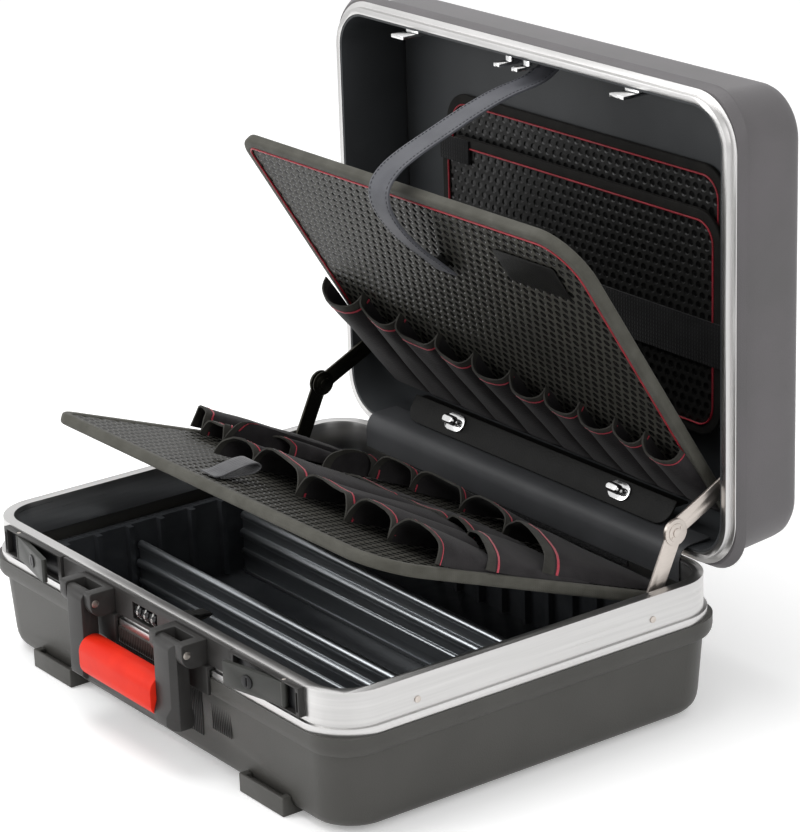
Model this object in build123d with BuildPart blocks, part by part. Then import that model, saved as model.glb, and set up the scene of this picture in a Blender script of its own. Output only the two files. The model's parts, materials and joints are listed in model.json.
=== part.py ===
from build123d import *
import math
import os

os.makedirs("parts", exist_ok=True)

# A hard tool case standing open. Axes: +X to the right, +Y to the hinge side, +Z up. The origin is on
# the floor under the middle of the base. All sizes are millimetres.

# ---- driving dimensions ------------------------------------------------------------------------
WIDTH = 480.0            # over the base frame, left to right
DEPTH = 356.0            # over the base frame, front to back
CORNER = 37.0            # plan radius of the frame's corners
RIM = 112.0              # top of the base frame
LID_GAP = 1.0            # between the two frames when the lid is shut
LID_DEPTH = 76.0         # lid lip to the outside of the lid
LID_SHIFT = 0.5          # the shut lid stands this far behind the base

WALL = 3.0               # moulded shells
FLOOR_TOP = 5.5          # inside of the base's floor
SHELL_BOTTOM = 2.5
BULGE_BOTTOM = 64.5
LEDGE_BOTTOM = 79.4
LEDGE_TOP = 85.5
LEDGE_OUT = 2.8
BULGE_OUT = 3.7
FRAME_SKIN = 2.2         # outer leg of the frame profile
LIP_WIDTH = 8.5          # lip of the frame profile, outside to inside
LIP_THICK = 2.5
INNER_LEG_BOTTOM = 84.0

HINGE_Y = 179.0          # lid hinge axis
HINGE_Z = 112.5
BARREL_R = 2.0
HINGE_PIN_R = 1.0
HINGE_LENGTH = 380.0
KNUCKLE = 20.0

BOARD_THICK = 9.0
BOARD_EDGE = 9.0         # width of the sewn binding
BOARD_CORNERS = (18.0, 42.0)     # left and right
LOWER_HALF = 211.0       # lower tool board, half width
LOWER_LENGTHS = (312.0, 299.0)   # along its left and its right edge: the soft board isn't square
LOWER_TILT = 20.2        # degrees above level
LOWER_HINGE = (165.0, 82.0)
UPPER_HALF = 209.5
UPPER_LENGTHS = (285.0, 285.0)
UPPER_LEAN = 32.0        # degrees forward of upright
UPPER_HINGE = (212.0, 143.0)

PIVOT_Y = -198.5         # carrying handle axis
PIVOT_Z = 100.5
HANDLE_X = 63.0          # middle of each handle arm
ARM_WIDTH = 25.4
LATCH_PIN = (183.0, -181.0)
LATCH_OPEN = 11.5        # degrees that the levers stand out at rest
KEY_REACH = 35.0         # lever pin to key cylinder
DIAL_PITCH = 10.0
DIAL_R = 6.3
DIAL_CENTRE = (-175.0, 98.7)

STAY_X = 226.0           # inner link plane of the lid stays
STAY_BASE = (-63.6, -16.0)   # base pivot, from the hinge axis
STAY_ELBOW = (-38.0, 38.0)
RUNNING = 0.05           # radial clearance of pins in bores

LIP_LEVEL = RIM + LID_GAP

# ---- planes ------------------------------------------------------------------------------------


def level(height):
    return Plane.XY.offset(height)


def lid_level(height):
    """A plan level of the shut lid, carried to where the open lid has it."""
    origin = (0, HINGE_Y + height - HINGE_Z, HINGE_Z + HINGE_Y - LID_SHIFT)
    return Plane(origin=origin, x_dir=(1, 0, 0), z_dir=(0, 1, 0))


def side_plane(x):
    """Upright plane across the case at x: local x is Y, local y is Z."""
    return Plane(origin=(x, 0, 0), x_dir=(0, 1, 0), z_dir=(1, 0, 0))


def lower_plane(offset):
    """The lower board's own plane: local y runs back down to its hinge at 0."""
    tilt = math.radians(LOWER_TILT)
    normal = (0, math.sin(tilt), math.cos(tilt))
    origin = (0, LOWER_HINGE[0] + offset * normal[1], LOWER_HINGE[1] + offset * normal[2])
    return Plane(origin=origin, x_dir=(1, 0, 0), z_dir=normal)


def upper_plane(offset):
    """The upper board's own plane: local y runs up from its hinge, the normal faces the user."""
    lean = math.radians(UPPER_LEAN)
    normal = (0, -math.cos(lean), -math.sin(lean))
    origin = (0, UPPER_HINGE[0] + offset * normal[1], UPPER_HINGE[1] + offset * normal[2])
    return Plane(origin=origin, x_dir=(1, 0, 0), z_dir=normal)


def outline(inset, corner=None, mode=Mode.ADD):
    """The frame's plan outline moved in by inset."""
    radius = CORNER - inset if corner is None else corner
    RectangleRounded(WIDTH - 2 * inset, DEPTH - 2 * inset, radius, mode=mode)


def stations(rows, plane=level, mode=Mode.ADD):
    """Loft through plan outlines given as height, inset and corner radius."""
    sections = []
    for height, inset, corner in rows:
        with BuildSketch(plane(height)) as section:
            outline(inset, corner)
        sections.append(section.sketch)
    loft(sections, ruled=True, mode=mode)


def ring(plane, height, outer, inner):
    """A band following the frame outline between two insets."""
    with BuildSketch(plane) as band:
        outline(outer)
        outline(inner, mode=Mode.SUBTRACT)
    extrude(band.sketch, amount=height)


def block(x, y, z, mode=Mode.ADD):
    """A box given by its low and high corner along each axis."""
    with Locations(((x[0] + x[1]) / 2, (y[0] + y[1]) / 2, (z[0] + z[1]) / 2)):
        Box(x[1] - x[0], y[1] - y[0], z[1] - z[0], mode=mode)


def span(side, low, high):
    """An X range on the left (side -1) or right (side 1) of the case."""
    return (low, high) if side > 0 else (-high, -low)


# ---- base --------------------------------------------------------------------------------------
SHELL_OUTSIDE = ((SHELL_BOTTOM, 15.0, 30.0), (8.0, 6.5, 37.0), (16.0, 4.6, 40.0), (BULGE_BOTTOM, 1.7, 39.0))
BULGE_OUTSIDE = ((BULGE_BOTTOM, -0.7, 38.0), (69.0, -3.2, 40.0), (LEDGE_BOTTOM, -BULGE_OUT, 40.5))
SHELL_INSIDE = ((FLOOR_TOP, 17.0, 28.0), (10.5, 9.3, 34.0), (17.0, 7.6, 36.0), (BULGE_BOTTOM, 5.2, 35.0))
NECK_OUT = 2.5           # shell wall inside the frame profile
NECK_IN = 5.2
NECK_TOP = 108.0
LOCK_WINDOW = (21.3, 88.2, 109.3)    # half width, low and high edge of the cut for the lock case

with BuildPart() as base_shell:
    stations(SHELL_OUTSIDE)
    stations(BULGE_OUTSIDE)
    with BuildSketch(level(LEDGE_BOTTOM)):
        outline(NECK_OUT)
    extrude(amount=NECK_TOP - LEDGE_BOTTOM)
    stations(SHELL_INSIDE, mode=Mode.SUBTRACT)
    with BuildSketch(level(BULGE_BOTTOM)):
        outline(NECK_IN, 35.0)
    extrude(amount=NECK_TOP - BULGE_BOTTOM, mode=Mode.SUBTRACT)
    # raised field under the floor, level with the feet
    with BuildSketch(level(0)):
        RectangleRounded(300, 190, 18)
    extrude(amount=SHELL_BOTTOM)
    # shallow grip recess behind the handle
    block((-66, 66), (-178.5, -174.2), (21, 62), mode=Mode.SUBTRACT)
    block((-LOCK_WINDOW[0], LOCK_WINDOW[0]), (-180, -160), LOCK_WINDOW[1:], mode=Mode.SUBTRACT)
base_shell.part.label = "base_shell"
export_step(base_shell.part, "parts/base_shell.step")

with BuildPart() as base_frame:
    ring(level(LEDGE_TOP), RIM - LEDGE_TOP, 0, FRAME_SKIN)
    ring(level(LEDGE_BOTTOM), LEDGE_TOP - LEDGE_BOTTOM, -LEDGE_OUT, FRAME_SKIN)
    ring(level(RIM - LIP_THICK), LIP_THICK, 0, LIP_WIDTH)
    ring(level(INNER_LEG_BOTTOM), RIM - INNER_LEG_BOTTOM, LIP_WIDTH - 1.8, LIP_WIDTH)
    block((-LOCK_WINDOW[0], LOCK_WINDOW[0]), (-180, -160), LOCK_WINDOW[1:], mode=Mode.SUBTRACT)
    # rebate that the hinge barrel lies in
    block((-HINGE_LENGTH / 2 - 1, HINGE_LENGTH / 2 + 1), (HINGE_Y - BARREL_R - 0.3, 179),
          (HINGE_Z - BARREL_R - 0.3, RIM), mode=Mode.SUBTRACT)
base_frame.part.label = "base_frame"
export_step(base_frame.part, "parts/base_frame.step")

FOOT_X = (118.0, 174.0)
FOOT_HEIGHT = 15.0
FOOT_Y = (156.0, 181.0)

with BuildPart() as base_feet:
    for side in (-1, 1):
        for end in (-1, 1):
            y_range = FOOT_Y if end > 0 else (-FOOT_Y[1], -FOOT_Y[0])
            block(span(side, *FOOT_X), y_range, (0, FOOT_HEIGHT))
    stations(((SHELL_BOTTOM, 14.7, 30.3), (8.0, 6.2, 37.3), (16.0, 4.3, 40.3)), mode=Mode.SUBTRACT)
    # slot along the top of each front plate
    for side in (-1, 1):
        block(span(side, FOOT_X[0] + 6, FOOT_X[1] - 6), (-178.5, -172), (11.5, FOOT_HEIGHT), mode=Mode.SUBTRACT)
base_feet.part.label = "base_feet"
export_step(base_feet.part, "parts/base_feet.step")

TRAY_INSET = 12.0
TRAY_WALL = 4.0
TRAY_TOP = 75.0
TRAY_RIB = (5.0, 10.0)       # width, depth
RIB_PITCH = 30.0

with BuildPart() as base_tray:
    with BuildSketch(level(17.2)):
        outline(TRAY_INSET, 27.0)
    extrude(amount=TRAY_TOP - 17.2)
    stations(((FLOOR_TOP, 19.5, 25.0), (17.2, TRAY_INSET, 27.0)))
    with BuildSketch(level(7.5)):
        outline(TRAY_INSET + TRAY_WALL + 4, 22.0)
    extrude(amount=TRAY_TOP, mode=Mode.SUBTRACT)
    for step in range(-6, 7):
        for end in (-1, 1):
            reach = (DEPTH / 2 - TRAY_INSET - TRAY_WALL - TRAY_RIB[1], DEPTH / 2 - TRAY_INSET - 2)
            y_range = reach if end > 0 else (-reach[1], -reach[0])
            block((step * RIB_PITCH - TRAY_RIB[0] / 2, step * RIB_PITCH + TRAY_RIB[0] / 2), y_range, (9.5, TRAY_TOP))
    for step in range(-4, 5):
        for side in (-1, 1):
            reach = (WIDTH / 2 - TRAY_INSET - TRAY_WALL - TRAY_RIB[1], WIDTH / 2 - TRAY_INSET - 2)
            block(span(side, *reach), (step * RIB_PITCH - TRAY_RIB[0] / 2, step * RIB_PITCH + TRAY_RIB[0] / 2),
                  (9.5, TRAY_TOP))
base_tray.part.label = "base_tray"
export_step(base_tray.part, "parts/base_tray.step")

DIVIDER_TOP = 62.0
DIVIDER_FOOT = 7.6
DIVIDER_HALF = 213.0


def divider(y, name):
    """An extruded divider: plate, beaded top edge, a strong and a small ridge along its front."""
    with BuildPart() as piece:
        with BuildSketch(side_plane(-DIVIDER_HALF)):
            with Locations((y, (DIVIDER_FOOT + DIVIDER_TOP) / 2)):
                Rectangle(3.6, DIVIDER_TOP - DIVIDER_FOOT - 4)
            with Locations((y, DIVIDER_TOP - 3.5)):
                Circle(3.5)
            with Locations((y - 1.2, 43)):
                Circle(4.2)
            with Locations((y - 1.2, 27)):
                Circle(2.8)
            with Locations((y, DIVIDER_FOOT + 1.5)):
                Rectangle(7, 3)
        extrude(amount=2 * DIVIDER_HALF)
    piece.part.label = name
    export_step(piece.part, f"parts/{name}.step")


divider(-53.0, "divider_front")
divider(48.5, "divider_rear")

with BuildPart() as velcro_strip:
    block((-140, 140), (DEPTH / 2 - LIP_WIDTH - 1.6, DEPTH / 2 - LIP_WIDTH), (88.5, 94))
velcro_strip.part.label = "velcro_strip"
export_step(velcro_strip.part, "parts/velcro_strip.step")

# folded webbing loop that stands in from the front wall
LOOP_X = (24.0, 36.0)
with BuildPart() as retaining_loop:
    with BuildSketch(side_plane(LOOP_X[0])):
        with Locations((-156.5, 104)):
            SlotOverall(26, 8)
            SlotOverall(22.4, 4.4, mode=Mode.SUBTRACT)
    extrude(amount=LOOP_X[1] - LOOP_X[0])
    block(LOOP_X, (-169.5, -167.8), (96, 108))
retaining_loop.part.label = "retaining_loop"
export_step(retaining_loop.part, "parts/retaining_loop.step")

# ---- front hardware ----------------------------------------------------------------------------
FACE = -DEPTH / 2            # front face of the frame band
PLATE_FRONT = FACE - 3.0
PLATE_Z = (89.0, 111.0)
TAB_FRONT = FACE - 6.5
BRACKET_X = (41.0, 85.0)
BRACKET_Z = (89.0, 109.0)
BRACKET_FRONT = -203.0
SLOT_BACK = -186.0
HANDLE_PIN_R = 3.0

with BuildPart() as lock_plate:
    block((-116, 116), (PLATE_FRONT, FACE), PLATE_Z)
    for side in (-1, 1):
        block(span(side, 38, 88), (TAB_FRONT, FACE - BULGE_OUT - 0.1), (66, PLATE_Z[0]))
        block(span(side, 38, 88), (TAB_FRONT, FACE), (LEDGE_TOP, PLATE_Z[0]))
    block((-17, 17), (PLATE_FRONT, FACE), (92, 105.5), mode=Mode.SUBTRACT)
lock_plate.part.label = "lock_plate"
export_step(lock_plate.part, "parts/lock_plate.step")

with BuildPart() as lock_case:
    block((-21, 21), (FACE, -167.4), (88.5, 109))
    block((-16.5, 16.5), (FACE, -168.4), (91.7, 105.8), mode=Mode.SUBTRACT)
    with BuildSketch(side_plane(-18.5)):
        with Locations(DIAL_CENTRE):
            Circle(1.5)
    extrude(amount=37, mode=Mode.SUBTRACT)
lock_case.part.label = "lock_case"
export_step(lock_case.part, "parts/lock_case.step")

with BuildPart() as dial_axle:
    with BuildSketch(side_plane(-18.4)):
        with Locations(DIAL_CENTRE):
            Circle(1.5)
    extrude(amount=36.8)
dial_axle.part.label = "dial_axle"
export_step(dial_axle.part, "parts/dial_axle.step")


def number_dial(count):
    """One of the three dials of the combination lock, with ten shallow finger flats."""
    with BuildPart() as dial:
        with BuildSketch(side_plane((count - 2) * DIAL_PITCH - 4.2)):
            with Locations(DIAL_CENTRE):
                Circle(DIAL_R)
                Circle(1.5 + RUNNING, mode=Mode.SUBTRACT)
                with PolarLocations(DIAL_R + 1.4, 10, start_angle=18):
                    Circle(2.0, mode=Mode.SUBTRACT)
        extrude(amount=8.4)
    dial.part.label = f"number_dial_{count}"
    export_step(dial.part, f"parts/number_dial_{count}.step")


for count in (1, 2, 3):
    number_dial(count)


def handle_bracket(side, name):
    """Clevis on the lock plate that carries one end of the handle."""
    with BuildPart() as bracket:
        block(span(side, *BRACKET_X), (BRACKET_FRONT, PLATE_FRONT), BRACKET_Z)
        fillet(bracket.edges().filter_by(Axis.X).group_by(Axis.Y)[0].sort_by(Axis.Z)[0], 11)
        fillet(bracket.edges().filter_by(Axis.X).group_by(Axis.Y)[0].sort_by(Axis.Z)[-1], 2)
        block(span(side, HANDLE_X - 13, HANDLE_X + 13), (BRACKET_FRONT, SLOT_BACK), BRACKET_Z, mode=Mode.SUBTRACT)
        with BuildSketch(side_plane(span(side, *BRACKET_X)[0])):
            with Locations((PIVOT_Y, PIVOT_Z)):
                Circle(HANDLE_PIN_R)
        extrude(amount=BRACKET_X[1] - BRACKET_X[0], mode=Mode.SUBTRACT)
    bracket.part.label = name
    export_step(bracket.part, f"parts/{name}.step")


handle_bracket(-1, "handle_bracket_left")
handle_bracket(1, "handle_bracket_right")

with BuildPart() as handle_pins:
    for side in (-1, 1):
        with BuildSketch(side_plane(span(side, *BRACKET_X)[0])):
            with Locations((PIVOT_Y, PIVOT_Z)):
                Circle(HANDLE_PIN_R)
        extrude(amount=BRACKET_X[1] - BRACKET_X[0])
handle_pins.part.label = "handle_pins"
export_step(handle_pins.part, "parts/handle_pins.step")

ARM_DEPTH = 14.0
ARM_BOTTOM = 38.0
GRIP_CENTRE = (-198.5, 57.5)
GRIP_HALF = 50.0
CORE = (10.0, 24.0)          # depth and height of the bar inside the grip

with BuildPart() as handle_frame:
    for side in (-1, 1):
        with BuildSketch(side_plane(span(side, HANDLE_X - ARM_WIDTH / 2, HANDLE_X + ARM_WIDTH / 2)[0])):
            with Locations((PIVOT_Y, (PIVOT_Z + 52) / 2)):
                Rectangle(ARM_DEPTH, PIVOT_Z - 52)
            with Locations((PIVOT_Y, PIVOT_Z)):
                Circle(ARM_DEPTH / 2)
            with BuildLine():
                Polyline((PIVOT_Y - 7, 56), (PIVOT_Y - 9.5, 48), (PIVOT_Y - 9.5, ARM_BOTTOM + 3),
                         (PIVOT_Y - 6.5, ARM_BOTTOM), (PIVOT_Y + 6.5, ARM_BOTTOM), (PIVOT_Y + 9.5, ARM_BOTTOM + 3),
                         (PIVOT_Y + 9.5, 48), (PIVOT_Y + 7, 56), close=True)
            make_face()
        extrude(amount=ARM_WIDTH)
        # chamfer along the outer front corner
        outer = side * (HANDLE_X + ARM_WIDTH / 2)
        with BuildSketch(level(ARM_BOTTOM - 1)):
            with BuildLine():
                Polyline((outer + side, PIVOT_Y - 12), (outer - 9 * side, PIVOT_Y - 12),
                         (outer - 9 * side, PIVOT_Y - 9.6), (outer + side, PIVOT_Y - 2.6), close=True)
            make_face()
        extrude(amount=80, mode=Mode.SUBTRACT)
        with BuildSketch(side_plane(span(side, *BRACKET_X)[0])):
            with Locations((PIVOT_Y, PIVOT_Z)):
                Circle(HANDLE_PIN_R + RUNNING)
        extrude(amount=BRACKET_X[1] - BRACKET_X[0], mode=Mode.SUBTRACT)
    block((-GRIP_HALF - 1, GRIP_HALF + 1), (PIVOT_Y - CORE[0] / 2, PIVOT_Y + CORE[0] / 2),
          (ARM_BOTTOM, ARM_BOTTOM + CORE[1]))
handle_frame.part.label = "handle_frame"
export_step(handle_frame.part, "parts/handle_frame.step")

with BuildPart() as handle_grip:
    with BuildSketch(side_plane(-GRIP_HALF)):
        with Locations(GRIP_CENTRE):
            RectangleRounded(24, 32, 11.5)
    extrude(amount=2 * GRIP_HALF)
    block((-GRIP_HALF, GRIP_HALF), (PIVOT_Y - CORE[0] / 2, PIVOT_Y + CORE[0] / 2),
          (ARM_BOTTOM, ARM_BOTTOM + CORE[1]), mode=Mode.SUBTRACT)
handle_grip.part.label = "handle_grip"
export_step(handle_grip.part, "parts/handle_grip.step")

LEVER_Z = (90.3, 109.2)
LATCH_PIN_R = 1.6


def latch_housing(side, name):
    """Surround of one latch, with the lugs that hold the lever's pin."""
    with BuildPart() as housing:
        block(span(side, 117, 203), (FACE - 5, FACE), (88.6, 111))
        block(span(side, 121.5, 199), (FACE - 5, FACE), (LEVER_Z[0] - 0.5, LEVER_Z[1] + 0.4), mode=Mode.SUBTRACT)
        block(span(side, 199.6, 201.6), (FACE - 5, FACE), (92, 107), mode=Mode.SUBTRACT)
        with BuildSketch(level(88.6)):
            with Locations((side * LATCH_PIN[0], LATCH_PIN[1])):
                Circle(LATCH_PIN_R)
        extrude(amount=23, mode=Mode.SUBTRACT)
    housing.part.label = name
    export_step(housing.part, f"parts/{name}.step")


def lever_plane(side, height):
    """Plan plane of a lever standing open: local x runs from its pin to its free end."""
    swing = math.radians(LATCH_OPEN)
    x_dir = (-side * math.cos(swing), -math.sin(swing), 0)
    return Plane(origin=(side * LATCH_PIN[0], LATCH_PIN[1], height), x_dir=x_dir, z_dir=(0, 0, 1))


def key_plane(side, offset):
    """Plane square to the open lever at its key cylinder, facing out of the case."""
    swing = math.radians(LATCH_OPEN)
    along = (-side * math.cos(swing), -math.sin(swing))
    out = (side * math.sin(swing), -math.cos(swing))
    x = side * LATCH_PIN[0] + along[0] * KEY_REACH + out[0] * offset
    y = LATCH_PIN[1] + along[1] * KEY_REACH + out[1] * offset
    return Plane(origin=(x, y, (LEVER_Z[0] + LEVER_Z[1]) / 2), x_dir=(0, 0, 1), z_dir=(out[0], out[1], 0))


def latch_lever(side, name):
    """Lever that swings about an upright pin at the latch's outer end."""
    with BuildPart() as lever:
        with BuildSketch(lever_plane(side, LEVER_Z[0])):
            Circle(2.6)
            with Locations((29.5, 0)):
                Rectangle(59, 4)
            with Locations((58, 0)):
                Circle(2.0)
            Circle(LATCH_PIN_R + RUNNING, mode=Mode.SUBTRACT)
        extrude(amount=LEVER_Z[1] - LEVER_Z[0])
        with BuildSketch(key_plane(side, -4)):
            Circle(5.3)
        extrude(amount=8, mode=Mode.SUBTRACT)
    lever.part.label = name
    export_step(lever.part, f"parts/{name}.step")


def key_cylinder(side, name):
    """Key cylinder in a lever, with its slot."""
    with BuildPart() as cylinder:
        with BuildSketch(key_plane(side, -1.9)):
            Circle(5.25)
        extrude(amount=4.7)
        with BuildSketch(key_plane(side, 0.8)):
            Rectangle(6.4, 1.1)
        extrude(amount=3, mode=Mode.SUBTRACT)
    cylinder.part.label = name
    export_step(cylinder.part, f"parts/{name}.step")


for side, word in ((-1, "left"), (1, "right")):
    latch_housing(side, f"latch_housing_{word}")
    latch_lever(side, f"latch_lever_{word}")
    key_cylinder(side, f"key_cylinder_{word}")

with BuildPart() as latch_pins:
    for side in (-1, 1):
        with BuildSketch(level(88.6)):
            with Locations((side * LATCH_PIN[0], LATCH_PIN[1])):
                Circle(LATCH_PIN_R)
        extrude(amount=111 - 88.6)
latch_pins.part.label = "latch_pins"
export_step(latch_pins.part, "parts/latch_pins.step")

# ---- lid, modelled shut on plan levels and carried open by lid_level ----------------------------
LID_TOP = LIP_LEVEL + LID_DEPTH
LID_FLANGE = LIP_LEVEL + 5.0
LID_SHELL_BOTTOM = LIP_LEVEL + 6.2
LID_BULGE_TOP = LIP_LEVEL + 13.5
LID_WALL_OUTSIDE = ((LID_SHELL_BOTTOM, -2.0, 39.0), (LID_TOP - 12, 0.9, 36.5), (LID_TOP - 4, 3.0, 34.5),
                    (LID_TOP, 10.5, 28.0))
LID_BULGE = ((LID_SHELL_BOTTOM, -4.8, 42.0), (LID_BULGE_TOP, -8.4, 45.5))
LID_INSIDE = ((LIP_LEVEL, 4.0, 33.0), (LID_TOP - 7.5, 4.2, 33.0), (LID_TOP - WALL, 9.5, 28.0))
LINER = (5.0, 7.0)
PANEL_FRONT = LIP_LEVEL + 65.0
PANEL_THICK = 3.0

with BuildPart() as lid_shell:
    stations(LID_WALL_OUTSIDE, lid_level)
    stations(LID_BULGE, lid_level)
    stations(LID_INSIDE, lid_level, Mode.SUBTRACT)
lid_shell.part.label = "lid_shell"
export_step(lid_shell.part, "parts/lid_shell.step")

with BuildPart() as lid_frame:
    ring(lid_level(LIP_LEVEL), 5.0, 0, 5.0)
    ring(lid_level(LID_FLANGE), 1.2, -4.7, 4.0)
    block((-HINGE_LENGTH / 2 - 1, HINGE_LENGTH / 2 + 1), (HINGE_Y, HINGE_Y + BARREL_R + 0.4),
          (HINGE_Z, HINGE_Z + BARREL_R + 0.4), mode=Mode.SUBTRACT)
lid_frame.part.label = "lid_frame"
export_step(lid_frame.part, "parts/lid_frame.step")

with BuildPart() as lid_liner:
    ring(lid_level(LIP_LEVEL + 0.5), PANEL_FRONT - LIP_LEVEL - 0.5, LINER[0], LINER[1])
lid_liner.part.label = "lid_liner"
export_step(lid_liner.part, "parts/lid_liner.step")

with BuildPart() as lid_back_panel:
    with BuildSketch(lid_level(PANEL_FRONT)):
        outline(LINER[0] + 3.0)
    extrude(amount=PANEL_THICK)
lid_back_panel.part.label = "lid_back_panel"
export_step(lid_back_panel.part, "parts/lid_back_panel.step")


def lid_slab(x, y, depth, radius=0.0):
    """A slab standing on a plane of the open lid: x range, range of the shut lid's Y, range of its depth."""
    with BuildSketch(lid_level(LIP_LEVEL + depth[0])) as slab:
        with Locations(((x[0] + x[1]) / 2, (y[0] + y[1]) / 2)):
            if radius > 0:
                RectangleRounded(x[1] - x[0], y[1] - y[0], radius)
            else:
                Rectangle(x[1] - x[0], y[1] - y[0])
    extrude(slab.sketch, amount=depth[1] - depth[0])


# document wallet: a stiff panel standing off the back, hinged at its foot by cloth
with BuildPart() as document_panel:
    lid_slab((-172, 172), (-72, 108), (56, 61), 26)
document_panel.part.label = "document_panel"
export_step(document_panel.part, "parts/document_panel.step")

with BuildPart() as upper_wallet:
    lid_slab((-172, 172), (-106, -30), (61.3, 64.8), 26)
upper_wallet.part.label = "upper_wallet"
export_step(upper_wallet.part, "parts/upper_wallet.step")

# elastic tool band across the right half, and the touch-fastener tabs at the wallets' sides
with BuildPart() as lid_bands:
    lid_slab((16, 222), (14, 49), (53.6, 55.8))
    lid_slab((-172, -134), (-70, -50), (53.4, 55.8))
    lid_slab((172.4, 205), (-30, 0), (58, 64.8))
lid_bands.part.label = "lid_bands"
export_step(lid_bands.part, "parts/lid_bands.step")

# catches on the lid's front wall: a broad hasp over each latch and two hooks over the lock
LID_WALL_Y = -(DEPTH / 2 - LINER[1])
HASP_FRONT = -168.9 - LID_SHIFT
HASP_BACK = -166.0 - LID_SHIFT
HOOK_FRONT = -166.9 - LID_SHIFT
HOOK_BACK = -164.0 - LID_SHIFT

with BuildPart() as lid_catches:
    for side in (-1, 1):
        lid_slab(span(side, 127, 143), (LID_WALL_Y, HASP_BACK), (1, 14))
        lid_slab(span(side, 127, 143), (HASP_FRONT, HASP_BACK), (-14, 1))
        lid_slab(span(side, 7.5, 14.5), (LID_WALL_Y, HOOK_BACK), (1, 12))
        lid_slab(span(side, 7.5, 14.5), (HOOK_FRONT, HOOK_BACK), (-11, 1))
lid_catches.part.label = "lid_catches"
export_step(lid_catches.part, "parts/lid_catches.step")

# ---- lid hinge ---------------------------------------------------------------------------------
KNUCKLES = int(HINGE_LENGTH / KNUCKLE)


def hinge_leaf(parity, name, plate):
    """One leaf of the piano hinge; its knuckles alternate with the other leaf's."""
    with BuildPart() as leaf:
        plate()
        for turn in range(parity, KNUCKLES, 2):
            start = -HINGE_LENGTH / 2 + turn * KNUCKLE + 0.2
            with BuildSketch(side_plane(start)):
                with Locations((HINGE_Y, HINGE_Z)):
                    Circle(BARREL_R)
            extrude(amount=KNUCKLE - 0.4)
        for turn in range(1 - parity, KNUCKLES, 2):
            start = -HINGE_LENGTH / 2 + turn * KNUCKLE
            with BuildSketch(side_plane(start)):
                with Locations((HINGE_Y, HINGE_Z)):
                    Rectangle(2 * BARREL_R + 0.8, 2 * BARREL_R + 0.8)
            extrude(amount=KNUCKLE, mode=Mode.SUBTRACT)
        with BuildSketch(side_plane(-HINGE_LENGTH / 2)):
            with Locations((HINGE_Y, HINGE_Z)):
                Circle(HINGE_PIN_R + RUNNING)
        extrude(amount=HINGE_LENGTH, mode=Mode.SUBTRACT)
    leaf.part.label = name
    export_step(leaf.part, f"parts/{name}.step")


def base_plate():
    block((-HINGE_LENGTH / 2, HINGE_LENGTH / 2), (DEPTH / 2, DEPTH / 2 + 1.4), (90, HINGE_Z - 1))


def lid_plate():
    # lies against the rear face of the open lid's frame, which then faces down
    face = HINGE_Z + HINGE_Y - LID_SHIFT - DEPTH / 2
    block((-HINGE_LENGTH / 2, HINGE_LENGTH / 2), (HINGE_Y + 0.6, HINGE_Y + 5.4), (face - 1.4, face))
    block((-HINGE_LENGTH / 2, HINGE_LENGTH / 2), (HINGE_Y, HINGE_Y + 1.6), (face - 1.6, face))


hinge_leaf(0, "hinge_base_leaf", base_plate)
hinge_leaf(1, "hinge_lid_leaf", lid_plate)

with BuildPart() as hinge_pin:
    with BuildSketch(side_plane(-HINGE_LENGTH / 2)):
        with Locations((HINGE_Y, HINGE_Z)):
            Circle(HINGE_PIN_R)
    extrude(amount=HINGE_LENGTH)
hinge_pin.part.label = "hinge_pin"
export_step(hinge_pin.part, "parts/hinge_pin.step")

# soft cover over the hinge, from the base's back wall into the lid
with BuildPart() as hinge_cover:
    with BuildSketch(side_plane(-192)):
        with BuildLine():
            Polyline((167.2, 95), (167.2, 114), (170.5, 119.6), (177, 122.4), (196, 122.4),
                     (196, 120.9), (177.5, 120.9), (171.6, 118.4), (168.7, 113.6), (168.7, 95), close=True)
        make_face()
    extrude(amount=384)
hinge_cover.part.label = "hinge_cover"
export_step(hinge_cover.part, "parts/hinge_cover.step")

# ---- lid stays ---------------------------------------------------------------------------------
STAY_PIN_R = 3.0
LINK_WIDTH = 14.5
LINK_THICK = 2.0
DISK_R = 10.5


def from_hinge(point):
    return (HINGE_Y + point[0], HINGE_Z + point[1])


STAY_LID = (-STAY_BASE[1], -STAY_BASE[0])      # mirror image of the base pivot about the elbow's line
BASE_PIVOT = from_hinge(STAY_BASE)
ELBOW = from_hinge(STAY_ELBOW)
LID_PIVOT = from_hinge(STAY_LID)


def stay_link(side, plane_x, near, near_r, far, far_r, bore, name):
    """A flat link between two centres, with a bore at the far one."""
    low = span(side, plane_x, plane_x + LINK_THICK)[0]
    with BuildPart() as link:
        with BuildSketch(side_plane(low)):
            middle = ((near[0] + far[0]) / 2, (near[1] + far[1]) / 2)
            length = math.dist(near, far)
            angle = math.degrees(math.atan2(far[1] - near[1], far[0] - near[0]))
            with Locations(Location((middle[0], middle[1], 0), (0, 0, angle))):
                Rectangle(length, LINK_WIDTH)
            with Locations(near):
                Circle(near_r)
            with Locations(far):
                Circle(far_r)
                Circle(bore, mode=Mode.SUBTRACT)
        extrude(amount=LINK_THICK)
    link.part.label = name
    export_step(link.part, f"parts/{name}.step")


for side, word in ((-1, "left"), (1, "right")):
    stay_link(side, STAY_X, ELBOW, DISK_R, BASE_PIVOT, LINK_WIDTH / 2, STAY_PIN_R + RUNNING, f"stay_lower_{word}")
    stay_link(side, STAY_X - 2.6, ELBOW, LINK_WIDTH / 2, LID_PIVOT, LINK_WIDTH / 2, STAY_PIN_R + RUNNING,
              f"stay_upper_{word}")


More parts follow.
